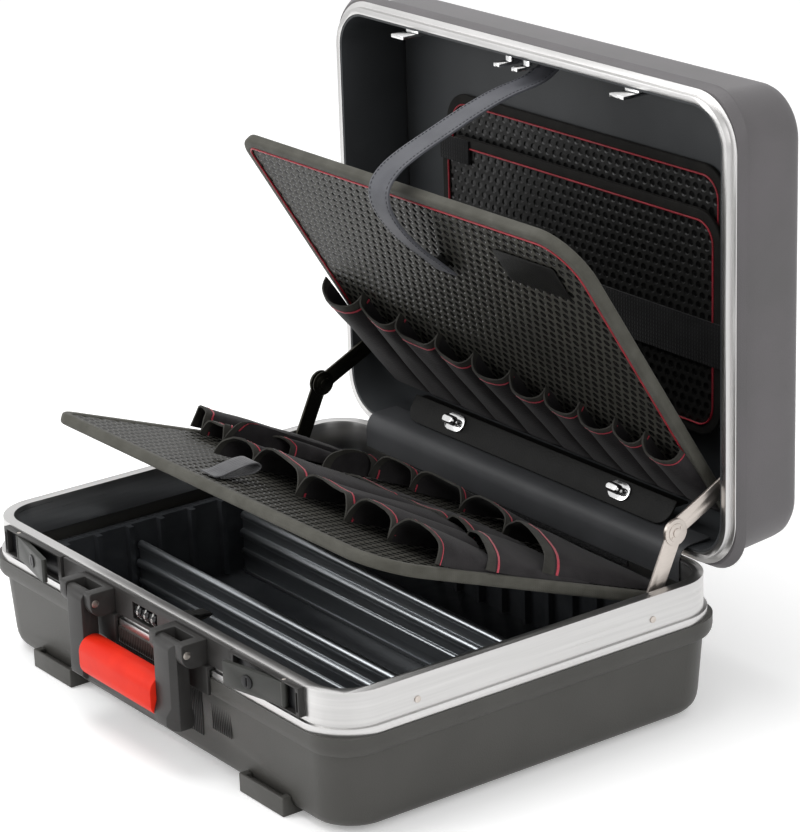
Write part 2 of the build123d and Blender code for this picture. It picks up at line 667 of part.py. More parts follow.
def stay_studs(pivot, x, name):
    """Headed studs that carry the stays, left and right."""
    with BuildPart() as studs:
        for side in (-1, 1):
            low, high = span(side, x[0], x[1])
            with BuildSketch(side_plane(low)):
                with Locations(pivot):
                    Circle(STAY_PIN_R)
            extrude(amount=high - low)
            low, high = span(side, x[2], x[3])
            with BuildSketch(side_plane(low)):
                with Locations(pivot):
                    Circle(5.5)
            extrude(amount=high - low)
    studs.part.label = name
    export_step(studs.part, f"parts/{name}.step")


stay_studs(BASE_PIVOT, (STAY_X - 0.4, WIDTH / 2 - LIP_WIDTH, STAY_X + 2.4, 231.4), "stay_base_studs")
stay_studs(LID_PIVOT, (STAY_X - 3.0, WIDTH / 2 - LINER[1], STAY_X - 0.2, 232.9), "stay_lid_studs")

# ---- tool boards -------------------------------------------------------------------------------
BOARD_REAR = 3.0         # board edge to hinge axis


def board_outline(half, lengths, grow, sign):
    """Board seen square on, its two far corners rounded. lengths are those of its left and right edge."""
    near = sign * (BOARD_REAR - grow)
    side = half + grow
    left_radius, right_radius = (radius + grow for radius in BOARD_CORNERS)
    left_far, right_far = (sign * (length + grow) for length in lengths)
    rise = (left_far - right_far) / (2 * side)
    left_turn = (-side + left_radius, left_far - rise * left_radius)
    right_turn = (side - right_radius, right_far + rise * right_radius)
    with BuildLine() as edge:
        Line((-side, near), (side, near))
        Line((side, near), (side, right_far - sign * right_radius))
        TangentArc((side, right_far - sign * right_radius), right_turn, tangent=(0, sign))
        Line(right_turn, left_turn)
        TangentArc(left_turn, (-side, left_far - sign * left_radius), tangent=(-1, rise))
        Line((-side, left_far - sign * left_radius), (-side, near))
    make_face(edge.edges())


def tool_board(plane, half, lengths, sign, name):
    """A stiff board in a sewn binding; both are written as their own node."""
    with BuildPart() as panel:
        with BuildSketch(plane(-BOARD_THICK / 2 + 1)):
            board_outline(half, lengths, -BOARD_EDGE, sign)
        extrude(amount=BOARD_THICK - 2)
    panel.part.label = f"{name}_panel"
    export_step(panel.part, f"parts/{name}_panel.step")
    with BuildPart() as binding:
        with BuildSketch(plane(-BOARD_THICK / 2)):
            board_outline(half, lengths, 0, sign)
        extrude(amount=BOARD_THICK)
        with BuildSketch(plane(-BOARD_THICK / 2)):
            board_outline(half, lengths, -BOARD_EDGE, sign)
        extrude(amount=BOARD_THICK, mode=Mode.SUBTRACT)
    binding.part.label = f"{name}_binding"
    export_step(binding.part, f"parts/{name}_binding.step")


tool_board(lower_plane, LOWER_HALF, LOWER_LENGTHS, -1, "lower_board")
tool_board(upper_plane, UPPER_HALF, UPPER_LENGTHS, 1, "upper_board")

POCKET_WALL = 1.6
POCKET_FLOOR = 0.6       # cloth between a pocket and its board
FOOT_RISE = 0.3          # a pocket's height at its foot, as a share of its height at the mouth
SHOULDER = 0.58          # where the arch springs from the side walls


def across(plane, along):
    """Plane across a board at a distance from its hinge: local y is height above the board."""
    board = plane(BOARD_THICK / 2)
    away = Vector(1, 0, 0).cross(board.z_dir)
    up_board = away if plane is lower_plane else away * -1
    return Plane(origin=board.origin + up_board * along, x_dir=(1, 0, 0), z_dir=away)


def tube(plane, foot, mouth, x, height, inset, floor, mode):
    """Tapering tube between two arched sections, flat on the board."""
    sections = []
    for along, rise in ((foot, FOOT_RISE), (mouth, 1.0)):
        shoulder = (height * rise - inset) * SHOULDER
        crown = ((x[0] + x[1]) / 2, height * rise - inset)
        with BuildSketch(across(plane, along)) as section:
            with BuildLine():
                Polyline((x[0] + inset, shoulder), (x[0] + inset, floor), (x[1] - inset, floor),
                         (x[1] - inset, shoulder))
                ThreePointArc((x[1] - inset, shoulder), crown, (x[0] + inset, shoulder))
            make_face()
        sections.append(section.sketch)
    loft(sections, ruled=True, mode=mode)


def pocket_row(plane, seams, height, name):
    """A row of pockets. Each seam is x, distance of its foot and of its mouth from the board's hinge."""
    with BuildPart() as row:
        for left, right in zip(seams, seams[1:]):
            x = (left[0] + 0.4, right[0] - 0.4)
            foot = (left[1] + right[1]) / 2
            mouth = (left[2] + right[2]) / 2
            tube(plane, foot, mouth, x, height, 0, 0, Mode.ADD)
            tube(plane, foot + 2, mouth + 0.6, x, height, POCKET_WALL, POCKET_FLOOR, Mode.SUBTRACT)
    row.part.label = name
    export_step(row.part, f"parts/{name}.step")


UPPER_SEAMS = ((-207, 5, 126), (-158, 5, 122), (-118, 5, 116), (-68, 5, 110), (-27, 5, 104), (18, 5, 98),
               (57, 5, 92), (94, 5, 88), (135, 5, 84), (168, 5, 80), (205, 5, 75))
FRONT_SEAMS = ((-105, 150, 232), (-62, 150, 230), (17, 150, 240), (88, 150, 246), (146, 150, 246), (203, 150, 246))
RIGHT_SEAMS = ((-112, 8, 100), (-84, 8, 90), (-40, 8, 82), (15, 8, 80), (88, 8, 90), (196, 8, 132))
LEFT_SEAMS = ((-206, 60, 188), (-186, 60, 188), (-160, 60, 180), (-134, 60, 168), (-113.5, 60, 150))

pocket_row(upper_plane, UPPER_SEAMS, 15.5, "upper_pockets")
pocket_row(lower_plane, FRONT_SEAMS, 22.0, "lower_pockets_front")
pocket_row(lower_plane, RIGHT_SEAMS, 20.0, "lower_pockets_right")
pocket_row(lower_plane, LEFT_SEAMS, 22.0, "lower_pockets_left")


def board_slab(plane, x, along, height, radius=1.0):
    """A slab lying on a board: x range, distance range from the hinge, height range."""
    sign = -1 if plane is lower_plane else 1
    with BuildSketch(plane(BOARD_THICK / 2 + height[0])) as slab:
        with Locations(((x[0] + x[1]) / 2, sign * (along[0] + along[1]) / 2)):
            RectangleRounded(x[1] - x[0], along[1] - along[0], radius)
    extrude(slab.sketch, amount=height[1] - height[0])


# label holder and the press stud that holds the strap
with BuildPart() as board_trim:
    board_slab(upper_plane, (100, 172), (220, 252), (0, 0.8), 3)
    board_slab(upper_plane, (6, 18), (206, 218), (0, 3.2), 5.9)
board_trim.part.label = "board_trim"
export_step(board_trim.part, "parts/board_trim.step")

with BuildPart() as pull_tab:
    with BuildSketch(across(lower_plane, 266)) as base:
        with Locations((-22, 0.6)):
            Rectangle(20, 1.2)
    with BuildSketch(across(lower_plane, 285)) as top:
        with Locations((-22, 7)):
            Rectangle(20, 1.2)
    loft([base.sketch, top.sketch], ruled=True)
    board_slab(lower_plane, (-32, -12), (262, 266.5), (0, 1.2))
pull_tab.part.label = "pull_tab"
export_step(pull_tab.part, "parts/pull_tab.step")

# flap under the upper board, leaning out over the lid's lip, and the studs that hold it
FLAP_TOP = (198.0, 142.0)
FLAP_FOOT = (185.5, 123.6)
FLAP_HALF = 166.0
STUD_X = 105.0


def flap_plane(offset):
    """Plane of the flap: local x is X, local y runs down from its top edge, the normal faces the user."""
    down = Vector(0, FLAP_FOOT[0] - FLAP_TOP[0], FLAP_FOOT[1] - FLAP_TOP[1]).normalized()
    out = Vector(0, down.Z, -down.Y)
    return Plane(origin=Vector(0, *FLAP_TOP) + out * offset, x_dir=(-1, 0, 0), z_dir=out)


FLAP_LENGTH = math.dist(FLAP_TOP, FLAP_FOOT)

with BuildPart() as upper_flap:
    with BuildSketch(flap_plane(0)):
        with BuildLine():
            FilletPolyline((-FLAP_HALF, 0), (-FLAP_HALF, FLAP_LENGTH), (FLAP_HALF, FLAP_LENGTH), (FLAP_HALF, 0),
                           radius=14)
            Line((FLAP_HALF, 0), (-FLAP_HALF, 0))
        make_face()
    extrude(amount=2)
    block((-FLAP_HALF, FLAP_HALF), (FLAP_TOP[0] - 3, UPPER_HINGE[0] - 4), (FLAP_TOP[1] - 4, FLAP_TOP[1] - 2))
upper_flap.part.label = "upper_flap"
export_step(upper_flap.part, "parts/upper_flap.step")


def turn_stud(side, name):
    """Oval turn button on a short neck."""
    with BuildPart() as stud:
        with BuildSketch(flap_plane(3.8)):
            with Locations((-side * STUD_X, 9.5)):
                Circle(2.5)
        extrude(amount=5)
        with BuildSketch(flap_plane(7.0)):
            with Locations((-side * STUD_X, 9.5)):
                SlotOverall(15, 8)
        extrude(amount=6)
        fillet(stud.faces().filter_by(flap_plane(0)).sort_by(lambda face: -face.center().Y)[-1].edges(), 2.5)
    stud.part.label = name
    export_step(stud.part, f"parts/{name}.step")


for side, word in ((-1, "left"), (1, "right")):
    turn_stud(side, f"turn_stud_{word}")

with BuildPart() as stud_plates:
    with BuildSketch(flap_plane(2.0)):
        with Locations((-STUD_X, 9.5), (STUD_X, 9.5)):
            SlotOverall(24, 15)
    extrude(amount=1.5)
stud_plates.part.label = "stud_plates"
export_step(stud_plates.part, "parts/stud_plates.step")

# strap from the lid's front wall over the top edge of the upper board to its snap
STRAP_X = (-1.0, 24.0)
with BuildPart() as lid_strap:
    with BuildSketch(side_plane(STRAP_X[0])):
        tip = upper_plane(BOARD_THICK / 2 + 5.4).from_local_coords(Vector(0, 208, 0))
        bend = upper_plane(BOARD_THICK / 2 + 3.4).from_local_coords(Vector(0, 286, 0))
        over = upper_plane(-BOARD_THICK / 2).from_local_coords(Vector(0, 292, 0))
        anchor = (204.0, 456.0)
        with BuildLine():
            Polyline((tip.Y, tip.Z), (bend.Y, bend.Z), (over.Y, over.Z), anchor, (anchor[0] + 2, anchor[1] - 1.5),
                     (over.Y + 1.6, over.Z - 1.2), (bend.Y + 1.6, bend.Z - 1.0), (tip.Y + 1.6, tip.Z + 1.0), close=True)
        make_face()
    extrude(amount=STRAP_X[1] - STRAP_X[0])
lid_strap.part.label = "lid_strap"
export_step(lid_strap.part, "parts/lid_strap.step")

# ---- small fasteners ---------------------------------------------------------------------------
with BuildPart() as frame_rivets:
    for side in (-1, 1):
        for y in (-108, 108):
            low, high = span(side, WIDTH / 2, WIDTH / 2 + 1)
            with BuildSketch(side_plane(low)):
                with Locations((y, 94)):
                    Circle(2.6)
            extrude(amount=high - low)
frame_rivets.part.label = "frame_rivets"
export_step(frame_rivets.part, "parts/frame_rivets.step")
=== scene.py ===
import json
import math

import bpy
from mathutils import Matrix, Vector, noise

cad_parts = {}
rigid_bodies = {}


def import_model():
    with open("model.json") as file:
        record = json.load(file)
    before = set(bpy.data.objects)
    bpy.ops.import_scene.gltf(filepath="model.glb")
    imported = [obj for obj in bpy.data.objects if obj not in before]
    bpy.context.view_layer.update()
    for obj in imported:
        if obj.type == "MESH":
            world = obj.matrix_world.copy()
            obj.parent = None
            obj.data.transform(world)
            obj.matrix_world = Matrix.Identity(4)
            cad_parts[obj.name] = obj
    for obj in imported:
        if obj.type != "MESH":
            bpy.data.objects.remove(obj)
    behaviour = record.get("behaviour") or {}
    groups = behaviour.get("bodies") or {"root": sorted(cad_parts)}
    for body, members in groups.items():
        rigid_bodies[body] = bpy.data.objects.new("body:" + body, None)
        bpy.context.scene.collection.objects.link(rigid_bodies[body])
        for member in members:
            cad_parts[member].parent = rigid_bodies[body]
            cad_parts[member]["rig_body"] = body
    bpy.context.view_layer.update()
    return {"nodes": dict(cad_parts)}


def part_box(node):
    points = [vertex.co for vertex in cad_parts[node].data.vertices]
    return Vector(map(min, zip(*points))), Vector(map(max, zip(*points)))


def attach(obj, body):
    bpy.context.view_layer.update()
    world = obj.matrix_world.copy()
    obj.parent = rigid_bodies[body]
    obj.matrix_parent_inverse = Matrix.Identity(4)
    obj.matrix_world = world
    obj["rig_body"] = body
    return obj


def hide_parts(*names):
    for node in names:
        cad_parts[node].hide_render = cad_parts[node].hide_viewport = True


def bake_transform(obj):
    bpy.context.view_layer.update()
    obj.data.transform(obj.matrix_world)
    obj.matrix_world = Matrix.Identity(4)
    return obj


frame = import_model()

# A hard tool case standing open, dressed over its solids. Sizes below are millimetres unless they say
# otherwise; MM turns them to metres as each piece is made.
MM = 0.001
WIDTH, DEPTH, CORNER = 480.0, 356.0, 37.0
LIP_LEVEL = 113.0
UPPER_LEAN, LOWER_TILT = math.radians(32.0), math.radians(20.2)
BOARD_TOP = 4.5          # board mid-plane to the face of its binding
CELL_PITCH = 9.1         # honeycomb, cell to cell


# ---- placing -----------------------------------------------------------------------------------
def board_matrix(hinge, along, normal, mirrored):
    """Board coordinates (across, distance from the hinge, height) to the case's. mirrored runs across leftwards."""
    across = Vector((-1.0 if mirrored else 1.0, 0, 0))
    columns = Matrix((across, Vector(along), Vector(normal))).transposed().to_4x4()
    return Matrix.Translation(Vector(hinge) * MM) @ columns


UPPER = board_matrix((0, 212, 143), (0, -math.sin(UPPER_LEAN), math.cos(UPPER_LEAN)),
                     (0, -math.cos(UPPER_LEAN), -math.sin(UPPER_LEAN)), False)
LOWER = board_matrix((0, 165, 82), (0, -math.cos(LOWER_TILT), math.sin(LOWER_TILT)),
                     (0, math.sin(LOWER_TILT), math.cos(LOWER_TILT)), True)
# the lid is modelled shut, on plan levels, and stood up about its hinge
OPEN_LID = Matrix(((1, 0, 0, 0), (0, 0, 1, 66.5 * MM), (0, -1, 0, 291 * MM), (0, 0, 0, 1)))
STILL = Matrix.Identity(4)


# ---- selecting and editing ---------------------------------------------------------------------
def nothing_selected():
    if bpy.context.object and bpy.context.object.mode != "OBJECT":
        bpy.ops.object.mode_set(mode="OBJECT")
    bpy.ops.object.select_all(action="DESELECT")


def only(piece):
    nothing_selected()
    piece.select_set(True)
    bpy.context.view_layer.objects.active = piece


def editing(piece, mode="VERT"):
    only(piece)
    bpy.ops.object.mode_set(mode="EDIT")
    bpy.ops.mesh.select_mode(type=mode)
    bpy.ops.mesh.select_all(action="SELECT")


def edited():
    bpy.ops.object.mode_set(mode="OBJECT")


def outward(piece):
    editing(piece)
    bpy.ops.mesh.normals_make_consistent(inside=False)
    edited()


def smoothed(piece, degrees=35):
    only(piece)
    bpy.ops.object.shade_smooth_by_angle(angle=math.radians(degrees))


def applied(piece, kind, **settings):
    """Adds a modifier and applies it."""
    only(piece)
    modifier = piece.modifiers.new(kind.lower(), kind)
    for name, value in settings.items():
        setattr(modifier, name, value)
    bpy.ops.object.modifier_apply(modifier=modifier.name)


def bevelled(piece, width, segments=2, degrees=32):
    applied(piece, "BEVEL", width=width * MM, segments=segments, limit_method="ANGLE",
            angle_limit=math.radians(degrees), use_clamp_overlap=True)


def joined(pieces, name):
    only(pieces[0])
    for other in pieces[1:]:
        other.select_set(True)
    if len(pieces) > 1:
        bpy.ops.object.join()
    whole = bpy.context.object
    whole.name = name
    whole.data.name = name
    return whole


def finished(piece, body, material, nodes=(), place=STILL):
    """Puts a made piece in its place, gives it its finish and lets it ride."""
    piece.data.transform(place)
    piece.data.update()
    if material is not None:
        piece.data.materials.clear()
        piece.data.materials.append(material)
    if body is not None:
        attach(piece, body)
    if nodes:
        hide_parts(*nodes)
    return piece


# ---- materials ---------------------------------------------------------------------------------
def colour(text):
    """sRGB hex to linear."""
    parts = [int(text[i:i + 2], 16) / 255 for i in (0, 2, 4)]
    return [c / 12.92 if c <= 0.04045 else ((c + 0.055) / 1.055) ** 2.4 for c in parts] + [1.0]


def add(tree, kind, inputs=(), **settings):
    """Adds a shader node; an input is given a value or the socket that feeds it."""
    made = tree.nodes.new("ShaderNode" + kind)
    for name, value in settings.items():
        setattr(made, name, value)
    for name, value in dict(inputs).items():
        if isinstance(value, bpy.types.NodeSocket):
            tree.links.new(value, made.inputs[name])
        else:
            made.inputs[name].default_value = value
    return made


def material(name, base, roughness, **principled):
    """A material with its shader; returns the material, its tree, the shader and Object coordinates."""
    made = bpy.data.materials.new(name)
    made.use_nodes = True
    tree = made.node_tree
    tree.nodes.clear()
    shader = add(tree, "BsdfPrincipled", {"Base Color": colour(base), "Roughness": roughness})
    for key, value in principled.items():
        shader.inputs[key.replace("_", " ")].default_value = value
    add(tree, "OutputMaterial", {"Surface": shader.outputs[0]})
    return made, tree, shader, add(tree, "TexCoord").outputs["Object"]


def mottled(tree, shader, where, first, second, size_mm, low=0.35, high=0.65):
    """Lets the colour drift between two tones in patches of a given size."""
    patches = add(tree, "TexNoise", {"Vector": where, "Scale": 1000 / size_mm, "Detail": 3.0})
    share = add(tree, "MapRange", {"Value": patches.outputs["Fac"], "From Min": low, "From Max": high})
    tones = add(tree, "Mix", {"Factor": share.outputs["Result"]}, data_type="RGBA")
    tones.inputs[6].default_value = colour(first)
    tones.inputs[7].default_value = colour(second)
    tree.links.new(tones.outputs[2], shader.inputs["Base Color"])
    return share.outputs["Result"]


def raised(tree, shader, height, depth_mm, strength=1.0, under=None):
    """Bump from a height; under is a bump beneath it."""
    links = {"Height": height, "Distance": depth_mm * MM, "Strength": strength}
    if under is not None:
        links["Normal"] = under
    bump = add(tree, "Bump", links)
    tree.links.new(bump.outputs[0], shader.inputs["Normal"])
    return bump.outputs[0]


def grained(name, base, other, roughness, grain_mm, depth_mm, patch_mm=60.0, **principled):
    """Moulded plastic with a fine spark-eroded or leather grain."""
    made, tree, shader, where = material(name, base, roughness, **{"Specular_IOR_Level": 0.26, **principled})
    mottled(tree, shader, where, base, other, patch_mm)
    grain = add(tree, "TexVoronoi", {"Vector": where, "Scale": 1000 / grain_mm})
    raised(tree, shader, grain.outputs["Distance"], depth_mm)
    return made


# ABS, deep-grained in the mould: a grey with a soft sheen that breaks up in a fine leather grain.
# The real grain is about 0.6 mm; it is drawn at 1.1 mm so that it shows.
shell_abs = grained("moulded_abs_shell", "454441", "403F3C", 0.42, 1.1, 0.10, Specular_IOR_Level=0.30)
lid_abs = grained("moulded_abs_lid", "625F61", "5D5B5C", 0.44, 1.1, 0.10, Specular_IOR_Level=0.30)
# glass-filled nylon, satin: the latch, lock and handle mouldings
nylon = grained("satin_nylon", "323130", "2C2B2A", 0.40, 0.8, 0.04, 25.0)
lever_die_cast = grained("painted_zinc", "333431", "2E2F2C", 0.38, 0.7, 0.03, 25.0)
# ABS sheet, vacuum formed: black, smooth, with soft streaks of light; its colour is lifted from black to a dark grey as
# painted light, for the light that reaches into the case
tray_abs_painted_light = grained("vacuum_formed_abs_painted_light", "36383B", "414346", 0.24, 3.0, 0.08, 30.0)
# black lining sheet, its colour lifted to a dark grey as painted light for the shade inside the lid
lining_abs_painted_light = grained("lining_abs_painted_light", "3E4042", "37393B", 0.46, 1.2, 0.05, 80.0)
# foot pads, polypropylene
foot_pp = grained("foot_polypropylene", "4B4A47", "444340", 0.42, 0.9, 0.05, 25.0)
# soft-touch TPE over the grip: even orange-red, faintly matt
grip_tpe = grained("grip_tpe", "DE2A12", "D6240E", 0.50, 0.5, 0.02, 20.0, Specular_IOR_Level=0.18)
# hinge cover and strap: PVC leathercloth, almost smooth
cover_vinyl = grained("smooth_leathercloth", "494A4C", "424345", 0.48, 1.4, 0.05, 40.0)
strap_vinyl = grained("strap_leathercloth", "55565B", "4D4E53", 0.46, 1.2, 0.04, 20.0)
flap_vinyl = grained("grained_leathercloth", "171716", "111110", 0.52, 1.6, 0.16, 15.0, Specular_IOR_Level=0.14)


def streaked_metal(name, base, roughness, stretch, line_mm, darker):
    """Metal drawn or brushed along its length: fine lines that split the highlight."""
    made, tree, shader, where = material(name, base, roughness, Metallic=1.0)
    spot = add(tree, "Mapping", {"Vector": where, "Scale": stretch})
    lines = add(tree, "TexNoise", {"Vector": spot.outputs[0], "Scale": 1000 / line_mm, "Detail": 4.0})
    tones = add(tree, "Mix", {"Factor": lines.outputs["Fac"]}, data_type="RGBA")
    tones.inputs[6].default_value = colour(darker)
    tones.inputs[7].default_value = colour(base)
    tree.links.new(tones.outputs[2], shader.inputs["Base Color"])
    rough = add(tree, "MapRange",
                {"Value": lines.outputs["Fac"], "To Min": roughness - 0.09, "To Max": roughness + 0.12})
    tree.links.new(rough.outputs["Result"], shader.inputs["Roughness"])
    raised(tree, shader, lines.outputs["Fac"], 0.05, 0.5)
    return made


# anodised aluminium extrusion: pale, with drawing lines that follow the rim; the lines lie level on the
# base and stand upright on the open lid, whose depth runs along Y
base_aluminium = streaked_metal("anodised_aluminium_base", "D4D3D2", 0.30, (0.02, 0.02, 1.0), 2.6, "B6B5B4")
lid_aluminium = streaked_metal("anodised_aluminium_lid", "D4D3D2", 0.30, (0.02, 1.0, 0.02), 2.6, "B6B5B4")
satin_nickel = streaked_metal("satin_nickel", "C9C1BA", 0.34, (0.2, 0.2, 1.0), 1.0, "B9B1AA")
bright_chrome = streaked_metal("bright_chrome", "E4E4E4", 0.12, (1.0, 1.0, 1.0), 6.0, "D6D6D6")
# the left stays and their disk: the same steel as the nickel-plated right ones, coloured a dark brownish grey as
# painted shade
painted_shade_steel = streaked_metal("stay_steel_painted_shade", "3A3832", 0.36, (0.3, 0.3, 1.0), 2.0, "2B2A25")
# dark anodised extrusion of the dividers, lines along X
divider_metal = streaked_metal("anodised_divider", "C4C8CC", 0.34, (0.01, 1.0, 1.0), 1.6, "9CA0A4")


def woven(name, base, other, thread_mm, depth_mm, roughness, sheen):
    """Cloth: two sets of threads crossing, with a soft sheen and slow changes of tone."""
    made, tree, shader, where = material(name, base, roughness, Sheen_Weight=sheen, Sheen_Roughness=0.4,
                                         Specular_IOR_Level=0.12)
    mottled(tree, shader, where, base, other, 14.0)
    height = None
    for axis in ("X", "Z", "Y"):
        threads = add(tree, "TexWave", {"Vector": where, "Scale": 314.0 / thread_mm / 2, "Distortion": 0.6},
                      wave_type="BANDS", bands_direction=axis, wave_profile="SIN")
        if height is None:
            height = threads.outputs["Fac"]
        else:
            height = add(tree, "Math", {0: height, 1: threads.outputs["Fac"]}, operation="MAXIMUM").outputs[0]
    raised(tree, shader, height, depth_mm)
    return made


# polyester pack cloth, real threads 0.4 mm, drawn at 1.1 mm
pack_cloth = woven("polyester_pack_cloth", "302E2F", "282627", 1.1, 0.14, 0.72, 0.06)
# woven tape bound round edges
edge_tape = woven("woven_edge_tape", "3B3A36", "302F2C", 0.9, 0.12, 0.7, 0.08)
board_tape = woven("board_edge_tape", "54534D", "4A4943", 0.9, 0.10, 0.66, 0.08)
dark_tape = woven("dark_edge_tape", "232220", "1C1B1A", 0.9, 0.10, 0.7, 0.05)
black_webbing = woven("elastic_webbing", "1D1D1E", "161617", 1.6, 0.25, 0.7, 0.2)
grey_webbing = woven("grey_webbing", "5E5E60", "505052", 1.2, 0.16, 0.6, 0.3)
# hook tape: a dense nap
hook_tape = grained("touch_fastener", "1A1A1B", "262627", 0.85, 1.3, 0.8, 4.0)
# bonded polyester thread, dyed red
red_thread, _tree, _shader, _where = material("red_thread", "A82436", 0.5, Sheen_Weight=0.3)
mottled(_tree, _shader, _where, "B42A40", "981E30", 1.5)
grey_thread = grained("grey_thread", "3A3B3F", "303135", 0.6, 0.6, 0.05, 2.0)
pvc_piping, _tree, _shader, _where = material("red_piping", "9C1C2A", 0.4)
mottled(_tree, _shader, _where, "A42030", "8E1A26", 12.0)
# embossed polypropylene sheet: matt webs and glossy dimples; the dimples' walls and bottoms are coloured darker than
# the webs of the same sheet, as painted shade
web_sheet = grained("embossed_sheet_web", "3C3B36", "353430", 0.56, 1.0, 0.05, 30.0)
board_dimple_painted_shade = grained("embossed_sheet_dimple_painted_shade", "1C1C1B", "161615", 0.22, 2.0, 0.02, 20.0, Coat_Weight=0.4)
# the lid's sheet: its dimples are likewise darker than its webs, as painted shade
dark_web = grained("lid_sheet_web", "1E1E1D", "181817", 0.55, 1.0, 0.05, 30.0)
lid_dimple_painted_shade = grained("lid_sheet_dimple_painted_shade", "101010", "0C0C0C", 0.30, 2.0, 0.02, 20.0)
white_ink = grained("white_ink", "E8E8E4", "DEDEDA", 0.5, 0.6, 0.01, 3.0)
black_abs = grained("black_abs", "111112", "18181A", 0.35, 1.0, 0.03, 10.0)


# ---- camera, light and floor -------------------------------------------------------------------
def camera():
    bpy.ops.object.camera_add(location=(1.9081, -1.3209, 1.0349))
    made = bpy.context.object
    made.name = "photo_camera"
    right, up = Vector((0.59451, 0.80348, -0.03112)), Vector((-0.25128, 0.22242, 0.94201))
    made.rotation_mode = "QUATERNION"
    made.rotation_quaternion = Matrix((right, up, right.cross(up))).transposed().to_quaternion()
    made.data.sensor_fit = "HORIZONTAL"
    made.data.sensor_width = 36.0
    made.data.lens = 145.64
    bpy.context.scene.camera = made


def seen_white(tree, plain_strength, tint):
    """White for the camera and in reflections, a softer light for everything else."""
    path = add(tree, "LightPath")
    seen = add(tree, "Math", {0: path.outputs["Is Camera Ray"], 1: path.outputs["Is Glossy Ray"]}, operation="MAXIMUM")
    seen = add(tree, "Math", {0: seen.outputs[0], 1: path.outputs["Is Transmission Ray"]}, operation="MAXIMUM")
    plain = add(tree, "Background", {"Color": colour(tint), "Strength": plain_strength})
    white = add(tree, "Background", {"Color": (1, 1, 1, 1), "Strength": 1.0})
    return add(tree, "MixShader", {0: seen.outputs[0], 1: plain.outputs[0], 2: white.outputs[0]})


def studio():
    bpy.context.scene.view_settings.view_transform = "Standard"
    world = bpy.data.worlds.new("pale_studio")
    bpy.context.scene.world = world
    world.use_nodes = True
    world.node_tree.nodes.clear()
    mixed = seen_white(world.node_tree, 0.60, "FFFFFF")
    add(world.node_tree, "OutputWorld", {"Surface": mixed.outputs[0]})
    for name, place, size, watts in (("overhead", (-0.5, -0.3, 2.3), 1.8, 28.0),
                                     ("front_left", (-1.2, -2.0, 1.2), 1.4, 20.0),
                                     ("right", (2.4, -0.2, 1.6), 1.4, 13.0)):
        bpy.ops.object.light_add(type="AREA", location=place)
        lamp = bpy.context.object
        lamp.name = name + "_softbox"
        lamp.data.size = size
        lamp.data.energy = watts
        lamp.rotation_mode = "QUATERNION"
        lamp.rotation_quaternion = (Vector((0, 0, 0.2)) - Vector(place)).to_track_quat("-Z", "Y")
    nothing_selected()
    bpy.ops.mesh.primitive_plane_add(size=12, location=(0, 0, -0.0002))
    floor = bpy.context.object
    floor.name = "floor"
    paper, tree, shader, where = material("white_paper", "FFFFFF", 0.9)
    path = add(tree, "LightPath")
    shown = add(tree, "Math", {0: path.outputs["Is Camera Ray"], 1: path.outputs["Is Glossy Ray"]}, operation="MAXIMUM")
    glow = add(tree, "Emission", {"Color": (1, 1, 1, 1), "Strength": 0.24})
    lit = add(tree, "AddShader", {0: shader.outputs[0], 1: glow.outputs[0]})
    both = add(tree, "MixShader", {0: shown.outputs[0], 1: shader.outputs[0], 2: lit.outputs[0]})
    tree.links.new(both.outputs[0], next(n for n in tree.nodes if n.type == "OUTPUT_MATERIAL").inputs["Surface"])
    floor.data.materials.append(paper)


# ---- rigid pieces whose solids are right: edges eased, finish given ---------------------------
def eased(node, finish, width=0.5, segments=2, degrees=32):
    """A rigid solid with its moulded or machined edges eased."""
    source = frame["nodes"][node]
    piece = bpy.data.objects.new(node + "_eased", source.data.copy())
    bpy.context.scene.collection.objects.link(piece)
    only(piece)
    if piece.data.has_custom_normals:
        bpy.ops.mesh.customdata_custom_splitnormals_clear()
    editing(piece)
    bpy.ops.mesh.remove_doubles(threshold=0.00001)
    bpy.ops.mesh.dissolve_limited(angle_limit=math.radians(0.8))
    edited()
    if width > 0:
        bevelled(piece, width, segments, degrees)
    smoothed(piece, 38)
    return finished(piece, source["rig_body"], finish, (node,))


# ---- shells and frames: a rounded outline drawn up through its levels ---------------------------
def drawn_up(name, rows, corner, steps=12, floor=False):
    """A rounded outline extruded from level to level. A row is height and inset from the frame's outline."""
    nothing_selected()
    height, inset = rows[0]
    bpy.ops.mesh.primitive_plane_add(size=1, location=(0, 0, 0))
    piece = bpy.context.object
    piece.name = name
    editing(piece)
    bpy.ops.transform.resize(value=((WIDTH - 2 * inset) * MM, (DEPTH - 2 * inset) * MM, 1))
    bpy.ops.transform.translate(value=(0, 0, height * MM))
    bpy.ops.mesh.bevel(offset=corner * MM, offset_type="OFFSET", segments=steps, affect="VERTICES")
    if not floor:
        bpy.ops.mesh.delete(type="ONLY_FACE")
        bpy.ops.mesh.select_all(action="SELECT")
    for next_height, next_inset in rows[1:]:
        bpy.ops.mesh.extrude_region_move(TRANSFORM_OT_translate={"value": (0, 0, (next_height - height) * MM)})
        wider = (WIDTH - 2 * next_inset) / (WIDTH - 2 * inset)
        deeper = (DEPTH - 2 * next_inset) / (DEPTH - 2 * inset)
        bpy.ops.transform.resize(value=(wider, deeper, 1), center_override=(0, 0, next_height * MM))
        height, inset = next_height, next_inset
    return piece


